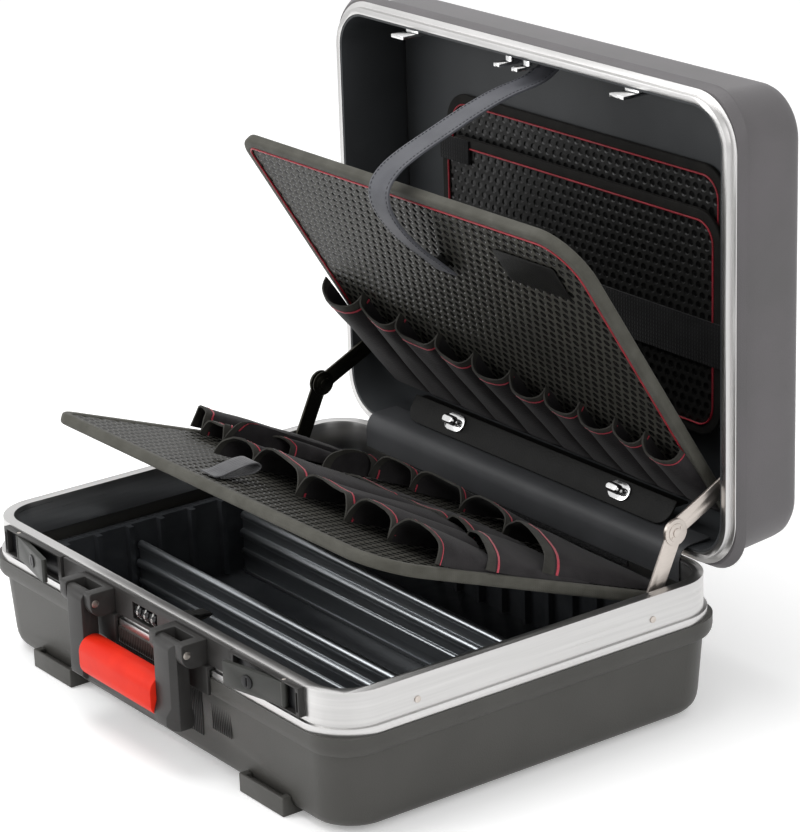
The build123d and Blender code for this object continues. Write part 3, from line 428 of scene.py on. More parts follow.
def case_base():
    outside = [(2.5, 15.0), (3.6, 11.6), (5.6, 8.6), (8.6, 6.4), (12.5, 5.2), (18.0, 4.5), (60.5, 1.9),
               (63.2, 1.6), (64.0, 1.0), (64.5, -0.6), (65.6, -2.2), (68.0, -3.2), (72.0, -3.7), (79.4, -3.7),
               (79.4, 2.5), (108.0, 2.5)]
    inside = [(108.0, 5.2), (64.5, 5.2), (17.0, 7.6), (10.5, 9.3), (5.5, 17.0)]
    shell = drawn_up("base_shell_moulding", outside + inside, 30.0)
    bpy.ops.mesh.edge_face_add()
    bpy.ops.mesh.select_all(action="DESELECT")
    edited()
    # close the bottom round the raised field that the case rests on
    for vertex in shell.data.vertices:
        vertex.select = vertex.co.z < 2.6 * MM
    for edge in shell.data.edges:
        edge.select = all(shell.data.vertices[i].select for i in edge.vertices)
    bpy.ops.object.mode_set(mode="EDIT")
    bpy.ops.mesh.select_mode(type="EDGE")
    bpy.ops.mesh.edge_face_add()
    bpy.ops.mesh.extrude_region_move(TRANSFORM_OT_translate={"value": (0, 0, 0)})
    bpy.ops.transform.resize(value=(300 / 450, 190 / 326, 1), center_override=(0, 0, 2.5 * MM))
    bpy.ops.mesh.extrude_region_move(TRANSFORM_OT_translate={"value": (0, 0, -2.5 * MM)})
    edited()
    outward(shell)
    # the shallow recess behind the handle
    nothing_selected()
    bpy.ops.mesh.primitive_cube_add(size=1, location=(0, -177.2 * MM, 41.5 * MM))
    cutter = bpy.context.object
    editing(cutter)
    bpy.ops.transform.resize(value=(132 * MM, 6 * MM, 41 * MM), center_override=(0, -177.2 * MM, 41.5 * MM))
    edited()
    bevelled(cutter, 1.2, 2)
    applied(shell, "BOOLEAN", object=cutter, operation="DIFFERENCE", solver="EXACT")
    bpy.data.objects.remove(cutter)
    smoothed(shell, 30)
    finished(shell, "base", shell_abs, ("base_shell",))
    # upright finger ribs that fill the recess
    nothing_selected()
    bpy.ops.mesh.primitive_cylinder_add(vertices=10, radius=0.7 * MM, depth=37 * MM,
                                        location=(-62.4 * MM, -174.5 * MM, 41.5 * MM))
    ribs = bpy.context.object
    applied(ribs, "ARRAY", count=53, use_relative_offset=False, use_constant_offset=True,
            constant_offset_displace=(2.4 * MM, 0, 0))
    ribs.name = "recess_ribs"
    nothing_selected()
    only(ribs)
    bpy.ops.object.transform_apply(location=True, rotation=False, scale=False)
    smoothed(ribs, 40)
    finished(ribs, "base", nylon)


def case_lid():
    lip = LIP_LEVEL
    outside = [(lip + 6.2, 4.2), (lip + 6.2, -4.8), (lip + 7.5, -5.6), (lip + 10.5, -7.2), (lip + 12.6, -8.2),
               (lip + 13.4, -8.2), (lip + 13.9, -7.4), (lip + 14.2, -2.6), (lip + 15.0, -1.9), (lip + 63.0, 0.8),
               (lip + 69.0, 1.6), (lip + 72.6, 3.4), (lip + 74.8, 6.2), (lip + 76.0, 10.5)]
    shell = drawn_up("lid_shell_moulding", outside, 35.0)
    bpy.ops.mesh.edge_face_add()
    bpy.ops.mesh.inset(thickness=26 * MM, depth=0)
    bpy.ops.mesh.inset(thickness=2.5 * MM, depth=-1.2 * MM)
    edited()
    applied(shell, "SOLIDIFY", thickness=2.6 * MM, offset=-1.0)
    outward(shell)
    smoothed(shell, 30)
    finished(shell, "lid", lid_abs, ("lid_shell",), OPEN_LID)


# ---- boards and wallets: an outline with its own corners ---------------------------------------
def outlined(name, corners, height=0.0):
    """A flat sheet with four corners, each given as across, along and radius, going round."""
    nothing_selected()
    bpy.ops.mesh.primitive_plane_add(size=1, location=(0, 0, 0))
    sheet = bpy.context.object
    sheet.name = name
    order = sorted(sheet.data.vertices, key=lambda v: math.atan2(v.co.y, v.co.x))
    for vertex, (x, y, _) in zip(order, corners):
        vertex.co = (x * MM, y * MM, height * MM)
    for x, y, radius in corners:
        if radius <= 0:
            continue
        for item in list(sheet.data.edges) + list(sheet.data.polygons):
            item.select = False
        for vertex in sheet.data.vertices:
            vertex.select = (vertex.co.xy - Vector((x, y)) * MM).length < 1e-6
        only(sheet)
        bpy.ops.object.mode_set(mode="EDIT")
        bpy.ops.mesh.select_mode(type="VERT")
        bpy.ops.mesh.bevel(offset=radius * MM, offset_type="OFFSET", segments=10, affect="VERTICES")
        edited()
    if sheet.data.polygons[0].normal.z < 0:
        editing(sheet)
        bpy.ops.mesh.flip_normals()
        edited()
    return sheet


def board_corners(half, near, lengths, radii, grow=0.0):
    """Corners from near left, going round; lengths and radii are those of the low and the high side across."""
    low, high = lengths
    return ((-half - grow, near - grow, 0.0), (half + grow, near - grow, 0.0), (half + grow, high + grow, radii[1] + grow),
            (-half - grow, low + grow, radii[0] + grow))


def wallet_corners(half, near, far, radius, grow=0.0):
    reach, corner = half + grow, radius + grow
    return tuple((x, y, corner) for x, y in ((-reach, near - grow), (reach, near - grow), (reach, far + grow), (-reach, far + grow)))


def within(sheet, margin):
    """A test of whether a point lies inside a convex sheet grown by margin."""
    loop = [sheet.data.vertices[i].co.xy / MM for i in sheet.data.polygons[0].vertices]
    middle = sum(loop, Vector((0, 0))) / len(loop)
    sides = []
    for a, b in zip(loop, loop[1:] + loop[:1]):
        out = Vector((b.y - a.y, a.x - b.x)).normalized()
        if out.dot(a - middle) < 0:
            out = -out
        sides.append((a, out))
    return lambda x, y: all(out.dot(Vector((x, y)) - a) < margin for a, out in sides)


def slab(name, corners, top, thick):
    sheet = outlined(name, corners, top)
    applied(sheet, "SOLIDIFY", thickness=thick * MM, offset=-1.0)
    return sheet


def honeycomb(name, corners, top, thick, webs, painted_shade_dimples):
    """Embossed sheet: a lattice of round-bottomed dimples in webs, on a backing slab; the dimples take the darker
    finish as painted shade.
    """
    row = CELL_PITCH * math.sqrt(3) / 2
    nothing_selected()
    bpy.ops.mesh.primitive_circle_add(vertices=6, radius=CELL_PITCH / math.sqrt(3) * MM, fill_type="NGON", location=(0, 0, 0))
    cell = bpy.context.object
    cell.data.materials.append(webs)
    cell.data.materials.append(painted_shade_dimples)
    editing(cell, "EDGE")
    bpy.ops.mesh.subdivide(number_cuts=1)
    bpy.ops.mesh.select_mode(type="FACE")
    bpy.ops.mesh.select_all(action="SELECT")
    bpy.ops.mesh.inset(thickness=1.55 * MM, depth=0)
    bpy.ops.transform.tosphere(value=0.85)
    bpy.ops.mesh.extrude_region_move(TRANSFORM_OT_translate={"value": (0, 0, -0.9 * MM)})
    bpy.ops.transform.resize(value=(0.72, 0.72, 1))
    edited()
    for face in cell.data.polygons:
        # faces below the web, the dimples' walls and bottoms, take the darker finish: painted shade
        face.material_index = 0 if face.center.z > -0.01 * MM else 1
        face.use_smooth = face.center.z < -0.01 * MM and len(face.vertices) == 4
    half = max(abs(x) for x, _, _ in corners)
    near, far = min(y for _, y, _ in corners), max(y for _, y, _ in corners)
    columns = int(2 * half / CELL_PITCH) + 3
    rows = int((far - near) / row / 2) + 3
    pair = duplicate(cell, name + "_pair", Matrix.Translation((CELL_PITCH / 2 * MM, row * MM, 0)))
    cell = joined([cell, pair], name)
    applied(cell, "ARRAY", count=columns, use_relative_offset=False, use_constant_offset=True,
            constant_offset_displace=(CELL_PITCH * MM, 0, 0))
    applied(cell, "ARRAY", count=rows, use_relative_offset=False, use_constant_offset=True,
            constant_offset_displace=(0, 2 * row * MM, 0))
    start_x, start_y = -(columns - 1) / 2 * CELL_PITCH, near - row
    cell.data.transform(Matrix.Translation((start_x * MM, start_y * MM, top * MM)))
    backing = slab(name + "_backing", corners, top - 0.95, thick)
    edge = outlined("edge", corners)
    inside = within(edge, 3.4)
    bpy.data.objects.remove(edge)
    for item in list(cell.data.vertices) + list(cell.data.edges):
        item.select = False
    for face in cell.data.polygons:
        # each face belongs to the cell whose middle is nearest
        level = round((face.center.y / MM - start_y) / row)
        shift = CELL_PITCH / 2 if level % 2 else 0.0
        step = round((face.center.x / MM - start_x - shift) / CELL_PITCH)
        face.select = not inside(start_x + shift + step * CELL_PITCH, start_y + level * row)
    only(cell)
    bpy.context.tool_settings.mesh_select_mode = (False, False, True)
    bpy.ops.object.mode_set(mode="EDIT")
    bpy.ops.mesh.delete(type="FACE")
    bpy.ops.mesh.select_all(action="SELECT")
    bpy.ops.mesh.remove_doubles(threshold=0.02 * MM)
    edited()
    backing.data.materials.append(webs)
    return joined([cell, backing], name)


def duplicate(piece, name, move):
    other = bpy.data.objects.new(name, piece.data.copy())
    bpy.context.scene.collection.objects.link(other)
    other.data.transform(move)
    return other


def cord(piece, name, radius):
    """Turns a wire into a round cord."""
    only(piece)
    bpy.ops.object.convert(target="CURVE")
    made = bpy.context.object
    made.data.bevel_depth = radius * MM
    made.data.bevel_resolution = 2
    bpy.ops.object.convert(target="MESH")
    made = bpy.context.object
    made.name = name
    smoothed(made, 60)
    return made


def border(name, corners, height, radius):
    """A round cord along an outline."""
    loop = outlined(name, corners, height)
    editing(loop)
    bpy.ops.mesh.delete(type="ONLY_FACE")
    edited()
    return cord(loop, name, radius)


def tool_board(prefix, half, lengths, radii, place, body, piped):
    edge = 9.0
    inner_lengths = tuple(length - edge for length in lengths)
    inner_radii = tuple(radius - edge for radius in radii)
    corners = board_corners(half - edge, 12.0, inner_lengths, inner_radii)
    front = honeycomb(prefix + "_sheet_front", corners, 3.4, 2.4, web_sheet, board_dimple_painted_shade)
    turned_over = tuple((-x, y, radius) for x, y, radius in corners)
    order = (turned_over[1], turned_over[0], turned_over[3], turned_over[2])
    back = honeycomb(prefix + "_sheet_back", order, 3.4, 2.4, web_sheet, board_dimple_painted_shade)
    back.data.transform(Matrix.Rotation(math.pi, 4, "Y"))
    sheet = joined([front, back], prefix + "_sheet")
    finished(sheet, body, None, (prefix + "_panel",), place)
    binding = eased(prefix + "_binding", board_tape, 2.6, 4, 50)
    smoothed(binding, 60)
    if piped:
        piping = border(prefix + "_piping", board_corners(half - edge, 12.0, inner_lengths, inner_radii, 0.2), 4.3, 0.8)
        finished(piping, body, pvc_piping, (), place)


# ---- cloth pockets -----------------------------------------------------------------------------
MEAN_RISE = 0.6     # a pocket's height averaged from its foot to its mouth, as a share of the mouth's


def arch_run(width, rise):
    """Length of the cloth over one pocket, taken as half an ellipse."""
    half = width / 2
    return math.pi / 2 * (3 * (half + rise) - math.sqrt((3 * half + rise) * (half + 3 * rise)))


class PocketRow:
    """Pockets side by side. mouths and feet are the seams' ends on the board, across and from the hinge."""

    def __init__(self, mouths, feet, heights, droop, boxy=0.72):
        self.mouths, self.feet, self.heights, self.droop, self.boxy = mouths, feet, heights, droop, boxy
        self.count = len(heights)

    def point(self, u, v):
        """u runs along the row, one unit a pocket; v from foot 0 to mouth 1."""
        k = min(max(int(u), 0), self.count - 1)
        theta = math.pi * min(max(u - k, 0.0), 1.0)
        ends = [Vector(self.feet[i]).lerp(Vector(self.mouths[i]), v) for i in (k, k + 1)]
        swing = -math.copysign(abs(math.cos(theta)) ** self.boxy, math.cos(theta))
        arch = math.sin(theta) ** 0.75
        crest = self.heights[k] * (0.10 + 0.90 * max(v, 0.0) ** 0.8)
        flat = ends[0].lerp(ends[1], 0.5 + 0.5 * swing)
        back = (Vector(self.feet[k]) - Vector(self.mouths[k])).normalized()
        flat += back * self.droop * arch * max(v, 0.0) ** 3
        # slow waves along the tube, and stiff folds at the mouth where the cloth is gathered into the seams
        ripple = noise.noise(Vector((flat.x * 0.035, flat.y * 0.02, k * 3.7))) * 1.8 * arch * (0.3 + v)
        fold = noise.noise(Vector((u * 2.6, v * 0.9, 11.0))) * 6.5 * math.sin(theta) * v ** 2
        pinch = 2.2 * (1 - math.sin(theta)) ** 4 * v ** 6
        return Vector((flat.x + ripple * 0.6 + fold * 0.5, flat.y + fold * 0.8, BOARD_TOP + 0.3 + crest * arch + ripple + fold + pinch))

    def cut(self):
        """The flat cloth in metres: its run over all pockets, its longest seam, and its area."""
        seams = [math.dist(mouth, foot) for mouth, foot in zip(self.mouths, self.feet)]
        runs = []
        for k, height in enumerate(self.heights):
            gaps = [math.dist(line[k], line[k + 1]) for line in (self.mouths, self.feet)]
            runs.append(arch_run(sum(gaps) / 2, MEAN_RISE * height))
        area = sum(run * (a + b) / 2 for run, a, b in zip(runs, seams, seams[1:]))
        return round(sum(runs) * MM, 3), round(max(seams) * MM, 3), round(area * MM * MM, 5)

    def off(self, u, v, lift):
        """A point lifted off the cloth."""
        e = 0.01
        base = self.point(u, v)
        if lift == 0.0:
            return base
        k = min(int(u), self.count - 1)
        low, high = max(u - e, k), min(u + e, k + 1)
        run = self.point(high, v) - self.point(low, v)
        rise = self.point(u, v + e) - self.point(u, v - e)
        normal = run.cross(rise)
        if normal.length < 1e-9:
            return base
        return base + normal.normalized() * lift * (1 if normal.z > -1e-6 or abs(normal.z) < 0.2 else -1)


def on_row(name, row, v_range, lift, thick, across_steps, along_steps, span=None):
    """Cloth, tape or thread following a row of pockets between two shares of its length."""
    first, last = span or (0, row.count)
    wide = max(1, (last - first) * across_steps)
    nothing_selected()
    bpy.ops.mesh.primitive_grid_add(x_subdivisions=wide, y_subdivisions=along_steps, size=1, location=(0, 0, 0))
    piece = bpy.context.object
    piece.name = name
    for vertex in piece.data.vertices:
        share = (vertex.co.x + 0.5) * (last - first)
        pocket = min(int(share + 1e-6), last - first - 1)
        part = 0.5 - 0.5 * math.cos(math.pi * (share - pocket))
        u = first + pocket + (0.35 * part + 0.65 * (share - pocket))
        v = v_range[0] + (vertex.co.y + 0.5) * (v_range[1] - v_range[0])
        vertex.co = row.off(u, v, lift) * MM
    piece.data.update()
    applied(piece, "SOLIDIFY", thickness=thick * MM, offset=0.0)
    smoothed(piece, 60)
    return piece


def pockets(name, row, place, body, node, lengths):
    """A row's cloth, the tape bound over its mouths and the stitch line behind the tape."""
    mean = sum(lengths) / len(lengths)
    cloth = on_row(name + "_cloth", row, (0.0, 1.0), 0.0, 0.7, 14, 12)
    finished(cloth, body, pack_cloth, (node,), place)
    run, longest, area = row.cut()
    tape = on_row(name + "_mouth_tape", row, (1 - 5.0 / mean, 1.004), 0.0, 1.5, 14, 2)
    finished(tape, body, edge_tape, (), place)
    stitch = on_row(name + "_mouth_stitch", row, (1 - 7.4 / mean, 1 - 6.2 / mean), 0.45, 0.7, 14, 1)
    finished(stitch, body, red_thread, (), place)


def all_pockets():
    upper_mouths = [(-207, 129), (-157, 126), (-114, 116), (-68, 109), (-25, 103), (18.5, 98), (57, 91), (94, 86),
                    (135, 84), (168, 81), (205, 75)]
    upper_feet = [(x, 6) for x, _ in upper_mouths]
    row = PocketRow(upper_mouths, upper_feet, [19, 17.5, 17.5, 17, 16, 16, 15.5, 15.5, 15, 15], 6.0)
    pockets("upper_pockets", row, UPPER, "upper_board", "upper_pockets", [m[1] - 6 for m in upper_mouths])
    # the lower board's own across runs leftwards, so its seams are given with X turned over
    front_mouths = [(-100, 231), (-62, 222), (24, 240), (95, 246), (148, 246), (207, 247)]
    front_feet = [(-78, 124), (-50, 104), (25, 98), (85, 118), (135, 146), (205, 182)]
    row = PocketRow(turned(front_mouths), turned(front_feet), [19, 22, 24, 23, 22][::-1], 4.0)
    pockets("lower_front_pockets", row, LOWER, "lower_board", "lower_pockets_front", [110, 120, 130, 120, 90])
    right_mouths = [(-106, 118), (-94, 79), (-61, 62), (-1, 57), (77, 76), (203, 142)]
    right_feet = [(-92, 30), (-70, 10), (-45, 9), (0, 9), (85, 9), (203, 9)]
    row = PocketRow(turned(right_mouths), turned(right_feet), [20, 21, 23, 21, 21][::-1], 3.0)
    pockets("lower_right_pockets", row, LOWER, "lower_board", "lower_pockets_right", [70, 55, 50, 60, 90])
    middle_mouths = [(-47, 146), (-4, 123), (58, 121), (104, 134), (208, 200)]
    middle_feet = [(-40, 84), (0, 70), (58, 66), (104, 70), (205, 96)]
    row = PocketRow(turned(middle_mouths), turned(middle_feet), [9, 9, 10, 13][::-1], 2.0)
    pockets("lower_middle_pockets", row, LOWER, "lower_board", "lower_pockets_front", [62, 54, 56, 90])
    left_mouths = [(-205, 182), (-178, 191), (-149, 189), (-157, 145), (-138, 129)]
    left_feet = [(-204, 32), (-180, 30), (-158, 26), (-138, 24), (-112, 30)]
    row = PocketRow(turned(left_mouths), turned(left_feet), [20, 18, 20, 12][::-1], 3.0)
    pockets("lower_left_pockets", row, LOWER, "lower_board", "lower_pockets_left", [150, 160, 140, 110])


def turned(seams):
    """The same seams for a board whose across runs leftwards: order and sign turned."""
    return [(-x, s) for x, s in reversed(seams)]


# ---- straps, tapes and covers that follow a line in the YZ plane --------------------------------
def eased_line(points, steps=6):
    """Catmull-Rom through the given points."""
    padded = [points[0]] + list(points) + [points[-1]]
    made = []
    for a, b, c, d in zip(padded, padded[1:], padded[2:], padded[3:]):
        for k in range(steps):
            t = k / steps
            made.append(tuple(0.5 * (2 * q + (r - p) * t + (2 * p - 5 * q + 4 * r - s) * t * t + (3 * q - p - 3 * r + s) * t ** 3)
                              for p, q, r, s in zip(a, b, c, d)))
    made.append(tuple(points[-1]))
    return made


def run_length(line):
    return sum(math.dist(a, b) for a, b in zip(line, line[1:]))


def ribbon(name, line, x_range, thick, twist=0.0):
    """A flat band: points (y, z) swept along X, given its thickness."""
    nothing_selected()
    bpy.ops.mesh.primitive_grid_add(x_subdivisions=4, y_subdivisions=len(line) - 1, size=1, location=(0, 0, 0))
    piece = bpy.context.object
    piece.name = name
    for vertex in piece.data.vertices:
        index = min(round((vertex.co.y + 0.5) * (len(line) - 1)), len(line) - 1)
        across = x_range[0] + (vertex.co.x + 0.5) * (x_range[1] - x_range[0])
        vertex.co = (across * MM, line[index][0] * MM, line[index][1] * MM)
    piece.data.update()
    outward(piece)
    applied(piece, "SOLIDIFY", thickness=thick * MM, offset=0.0)
    bevelled(piece, min(0.45, thick * 0.3), 2, 50)
    smoothed(piece, 40)
    return piece


def stitches(name, line, x, start, stop, pitch, lift):
    """Single stitches along a line in the YZ plane at one X."""
    made = []
    gone, nextone = 0.0, start
    for (y0, z0), (y1, z1) in zip(line, line[1:]):
        length = math.hypot(y1 - y0, z1 - z0)
        while length > 0 and nextone <= gone + length and nextone < stop:
            t = (nextone - gone) / length
            direction = Vector((0, y1 - y0, z1 - z0)).normalized()
            normal = Vector((1, 0, 0)).cross(direction)
            centre = Vector((x, y0 + (y1 - y0) * t, z0 + (z1 - z0) * t)) + normal * lift
            made.append((centre, direction))
            nextone += pitch
        gone += length
    nothing_selected()
    bpy.ops.mesh.primitive_uv_sphere_add(segments=6, ring_count=5, radius=0.5 * MM, location=(0, 0, 0))
    one = bpy.context.object
    copies = []
    for centre, direction in made:
        copy = one.copy()
        copy.data = one.data.copy()
        bpy.context.scene.collection.objects.link(copy)
        stretch = Matrix.Diagonal((0.9, 0.7, 2.6, 1))
        turn = direction.to_track_quat("Z", "X").to_matrix().to_4x4()
        copy.data.transform(Matrix.Translation(centre * MM) @ turn @ stretch)
        copies.append(copy)
    bpy.data.objects.remove(one)
    whole = joined(copies, name)
    smoothed(whole, 60)
    return whole


def on_upper(s, h):
    """(y, z) of a point on the upper board, distance from its hinge and height over its mid-plane."""
    point = UPPER @ Vector((0, s * MM, h * MM))
    return point.y / MM, point.z / MM


def strap():
    line = eased_line([(204.5, 456), (188, 447), (154, 440.5), (125, 432), (96, 421.5), (68, 411), (50, 402), (39.5, 391.5),
                       (38, 379.5), (43.5, 366), (55, 350.5), (70, 335.5), (82, 325.5), on_upper(208, 8.6), on_upper(202, 6.6)])
    band = ribbon("lid_strap_band", line, (-1.0, 24.0), 2.0)
    finished(band, None, strap_vinyl, ("lid_strap",))
    length = run_length(line)
    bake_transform(band)
    for name, x in (("left", 1.4), ("right", 21.6)):
        row = stitches("strap_stitches_" + name, line, x, 8, length - 4, 3.6, -1.05)
        finished(row, None, grey_thread)
        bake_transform(row)


def hinge_cover():
    line = eased_line([(168.2, 94), (168.0, 105), (168.6, 112), (171.5, 118.6), (177.5, 121.9), (188, 122.3), (200, 122.4)])
    cover = ribbon("hinge_cover_skin", line, (-200, 200), 1.2)
    finished(cover, None, cover_vinyl, ("hinge_cover",))
    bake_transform(cover)


def bands_and_tabs():
    """Elastic band, side tabs, touch-fastener strip, pull tab and the loop on the front wall."""
    eased("lid_bands", black_webbing, 0.4)
    eased("velcro_strip", hook_tape, 0.5)
    tab_line = eased_line([(290, 5.4), (284, 6.6), (274, 12), (262, 18), (254, 20), (250, 17.5), (254, 13), (264, 9.5), (276, 6.6), (287, 6.0)], 5)
    tab = ribbon("pull_tab_loop", tab_line, (12, 32), 1.1)
    finished(tab, "lower_board", grey_webbing, ("pull_tab",), LOWER)
    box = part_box("retaining_loop")
    middle_z = (box[0].z + box[1].z) / 2 / MM
    x = (box[0].x / MM + 0.5, box[1].x / MM - 0.5)
    y = (box[0].y / MM, box[1].y / MM)
    loop_line = eased_line([(y[0] + 0.8, middle_z - 3.6), (y[0] + 12, middle_z - 3.4), (y[1] - 14, middle_z - 2.2),
                            (y[1] - 3, middle_z - 0.8), (y[1] - 1.0, middle_z + 0.4), (y[1] - 3, middle_z + 1.2),
                            (y[1] - 14, middle_z + 2.4), (y[0] + 12, middle_z + 3.2), (y[0] + 0.8, middle_z + 3.6)], 4)
    loop = ribbon("webbing_loop", loop_line, x, 1.1)
    finished(loop, "base", flap_vinyl, ("retaining_loop",))


# ---- lid panels --------------------------------------------------------------------------------
def lid_panel(node, half, low, high, depth, corner, prefix):
    """A wallet panel: honeycomb sheet with bound edges and red piping. low and high are the shut lid's Y."""
    place = OPEN_LID @ Matrix.Translation((0, 0, (LIP_LEVEL + depth) * MM)) @ Matrix.Rotation(math.pi, 4, "X")
    # facing down out of the shut lid: across stays, along runs backwards
    corners = wallet_corners(half, -high, -low, corner)
    inner = wallet_corners(half, -high, -low, corner, -9.0)
    sheet = honeycomb(prefix + "_sheet", inner, -0.6, 1.2, dark_web, lid_dimple_painted_shade)
    finished(sheet, "lid", None, (node,), place)
    rim = slab(prefix + "_binding", corners, 0.6, 3.6)
    hole = slab("hole", inner, 4.0, 12.0)
    applied(rim, "BOOLEAN", object=hole, operation="DIFFERENCE", solver="EXACT")
    bpy.data.objects.remove(hole)
    bevelled(rim, 1.2, 3, 50)
    smoothed(rim, 50)
    finished(rim, "lid", dark_tape, (), place)
    piping = border(prefix + "_piping", wallet_corners(half, -high, -low, corner, -8.6), 0.8, 0.8)
    finished(piping, "lid", pvc_piping, (), place)


# ---- dials -------------------------------------------------------------------------------------
def dial_figures(count):
    """Ten figures round a dial, each in its own flat."""
    x = (count - 2) * 10.0
    figures = []
    for digit in range(10):
        nothing_selected()
        bpy.ops.object.text_add(location=(0, 0, 0))
        text = bpy.context.object
        text.data.body = str(digit)
        text.data.size = 4.4 * MM
        text.data.align_x = "CENTER"
        text.data.align_y = "CENTER"
        text.data.extrude = 0.12 * MM
        bpy.ops.object.convert(target="MESH")
        text = bpy.context.object
        angle = math.radians(36 * digit)
        stand = Matrix.Rotation(math.radians(90) + angle, 4, "X")
        out = Matrix.Translation((x * MM, -175 * MM, 98.7 * MM)) @ stand @ Matrix.Translation((0, 0, 6.28 * MM))
        text.data.transform(out)
        figures.append(text)
    whole = joined(figures, f"dial_figures_{count}")
    finished(whole, f"dial_{count}", white_ink)


def rib_field(name, x_range, y, z_range, pitch, radius):
    """Fine upright ribs, evenly spaced across."""
    nothing_selected()
    middle, length = (z_range[0] + z_range[1]) / 2, z_range[1] - z_range[0]
    bpy.ops.mesh.primitive_cylinder_add(vertices=8, radius=radius * MM, depth=length * MM, location=(0, 0, 0))
    ribs = bpy.context.object
    ribs.name = name
    ribs.data.transform(Matrix.Translation(Vector((x_range[0], y, middle)) * MM))
    applied(ribs, "ARRAY", count=int((x_range[1] - x_range[0]) / pitch) + 1, use_relative_offset=False,
            use_constant_offset=True, constant_offset_displace=(pitch * MM, 0, 0))
    smoothed(ribs, 50)
    finished(ribs, "base", nylon)


def disc(x_range, centre, radius, ease=0.3):
    """A disc square to X."""
    nothing_selected()
    bpy.ops.mesh.primitive_cylinder_add(vertices=40, radius=radius * MM, depth=abs(x_range[1] - x_range[0]) * MM, location=(0, 0, 0))
    made = bpy.context.object
    place = Matrix.Translation(Vector(((x_range[0] + x_range[1]) / 2, *centre)) * MM) @ Matrix.Rotation(math.pi / 2, 4, "Y")
    made.data.transform(place)
    bevelled(made, ease, 2)
    return made


def elbow_disks():
    """The friction disk at each stay's elbow: cap, raised ring, middle rivet and two small rivets."""
    elbow = (141.0, 150.5)
    # the left disk's dark brownish finish is painted shade
    for word, face, out, finish, slot in (("right", 228.0, 1, satin_nickel, "steel"), ("left", -223.2, 1, painted_shade_steel, "dark_steel")):
        parts = [disc((face, face + 0.9 * out), elbow, 10.4), disc((face, face + 1.5 * out), elbow, 7.2),
                 disc((face, face + 2.4 * out), elbow, 3.6)]
        for turn in (0.7, 0.7 + math.pi):
            spot = (elbow[0] + 5.4 * math.cos(turn), elbow[1] + 5.4 * math.sin(turn))
            parts.append(disc((face, face + 2.0 * out), spot, 1.1, 0.2))
        whole = joined(parts, "stay_disk_" + word)
        smoothed(whole, 40)
        finished(whole, "stay_lower_" + word, finish)


def latch_backs():
    """Thin near-black plates behind the levers, seen through the housings: painted shade inside the housings."""
    for side, word in ((-1, "left"), (1, "right")):
        nothing_selected()
        bpy.ops.mesh.primitive_cube_add(size=1, location=(0, 0, 0))
        plate = bpy.context.object
        plate.name = "latch_painted_shadow_" + word
        plate.data.transform(Matrix.Translation(Vector((side * 160.5, -178.25, 99.8)) * MM) @ Matrix.Diagonal((0.082, 0.0004, 0.020, 1)))
        # near-black finish: painted shade
        finished(plate, "base", black_abs)


def lid_recess():
    """The recess pressed into the front wall of the lid's lining, drawn by its raised edge."""
    nothing_selected()
    bpy.ops.mesh.primitive_circle_add(vertices=4, radius=1 * MM, location=(0, 0, 0))
    edge = bpy.context.object
    for vertex, (x, y) in zip(edge.data.vertices, ((58, 184), (80, 204), (150, 204), (172, 184))):
        vertex.co = (x * MM, y * MM, 461.2 * MM)
    editing(edge)
    bpy.ops.mesh.bevel(offset=5 * MM, offset_type="OFFSET", segments=4, affect="VERTICES")
    edited()
    line = cord(edge, "lid_recess_edge", 0.8)
    # the edge takes the lining's lifted grey, painted light
    finished(line, "lid", lining_abs_painted_light)


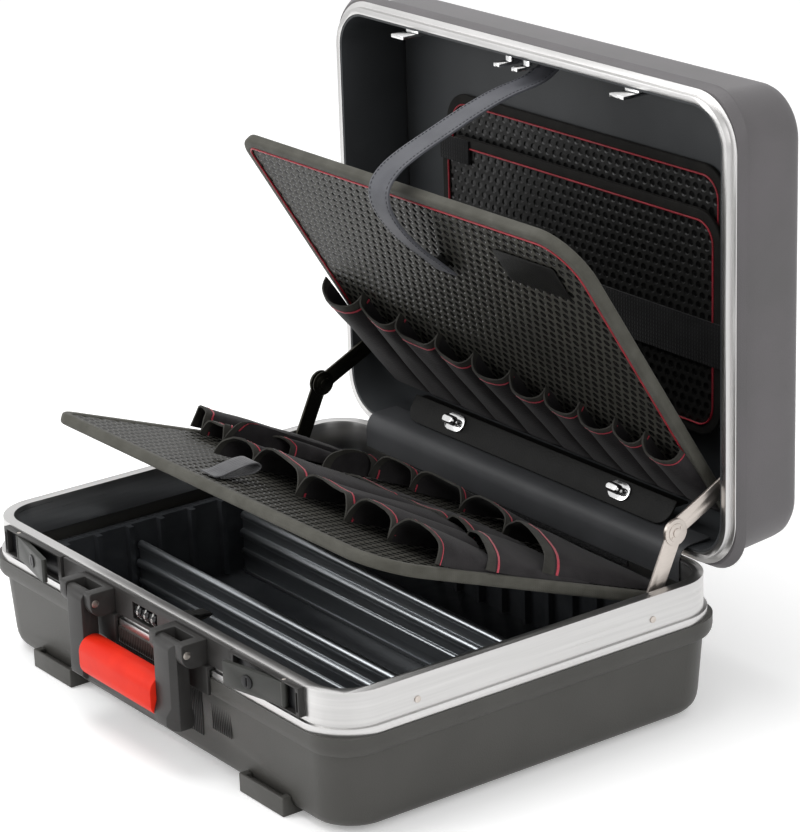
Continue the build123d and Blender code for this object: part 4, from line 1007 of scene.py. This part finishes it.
def rigid_pieces():
    eased("base_frame", base_aluminium, 0.45, 2, 40)
    eased("lid_frame", lid_aluminium, 0.35, 2, 40)
    # the tray's grey, lifted above its black, is painted light
    eased("base_tray", tray_abs_painted_light, 1.1, 3, 40)
    for name in ("divider_front", "divider_rear"):
        eased(name, divider_metal, 0.3, 2, 60)
    eased("base_feet", foot_pp, 0.9, 3)
    for name in ("lock_plate", "lock_case", "handle_bracket_left", "handle_bracket_right", "latch_housing_left",
                 "latch_housing_right"):
        eased(name, nylon, 0.6, 3)
    eased("handle_frame", nylon, 0.8, 3)
    eased("handle_grip", grip_tpe, 1.0, 3, 40)
    for word in ("left", "right"):
        eased("latch_lever_" + word, lever_die_cast, 0.5, 3)
        eased("key_cylinder_" + word, black_abs, 0.35, 2)
        eased("turn_stud_" + word, bright_chrome, 0.3, 2, 40)
    for name in ("handle_pins", "latch_pins", "hinge_base_leaf", "hinge_lid_leaf", "hinge_pin", "stay_lower_right",
                 "stay_upper_right", "stay_base_studs", "stay_lid_studs", "frame_rivets", "dial_axle"):
        eased(name, satin_nickel, 0.3, 2, 40)
    # the left stays: their dark brownish finish is painted shade
    for name in ("stay_lower_left", "stay_upper_left"):
        eased(name, painted_shade_steel, 0.3, 2, 40)
    eased("stud_plates", bright_chrome, 0.4, 2, 40)
    eased("lid_catches", bright_chrome, 0.4, 2, 40)
    # liner and back panel: the lining's lifted grey is painted light
    eased("lid_liner", lining_abs_painted_light, 0.3, 2, 40)
    eased("lid_back_panel", lining_abs_painted_light, 0.3, 2, 40)
    eased("upper_flap", flap_vinyl, 0.6, 3, 40)
    eased("board_trim", flap_vinyl, 0.3, 2, 40)
    for count in (1, 2, 3):
        eased(f"number_dial_{count}", black_abs, 0.25, 2, 40)
        dial_figures(count)


camera()
studio()
case_base()
case_lid()
rigid_pieces()
rib_field("bulge_ribs", (-36, 36), -181.6, (67, 79), 2.4, 0.5)
rib_field("side_ribs_right", (78, 104), -175.3, (34, 60), 2.4, 0.5)
rib_field("side_ribs_left", (-104, -78), -175.3, (34, 60), 2.4, 0.5)
elbow_disks()
latch_backs()
lid_recess()
tool_board("lower_board", 211.0, (299.0, 312.0), (42.0, 18.0), LOWER, "lower_board", False)
tool_board("upper_board", 209.5, (285.0, 285.0), (18.0, 42.0), UPPER, "upper_board", True)
all_pockets()
strap()
hinge_cover()
bands_and_tabs()
lid_panel("document_panel", 172.0, -72.0, 108.0, 56.0, 26.0, "document_panel")
lid_panel("upper_wallet", 172.0, -106.0, -30.0, 61.3, 26.0, "upper_wallet")

nothing_selected()
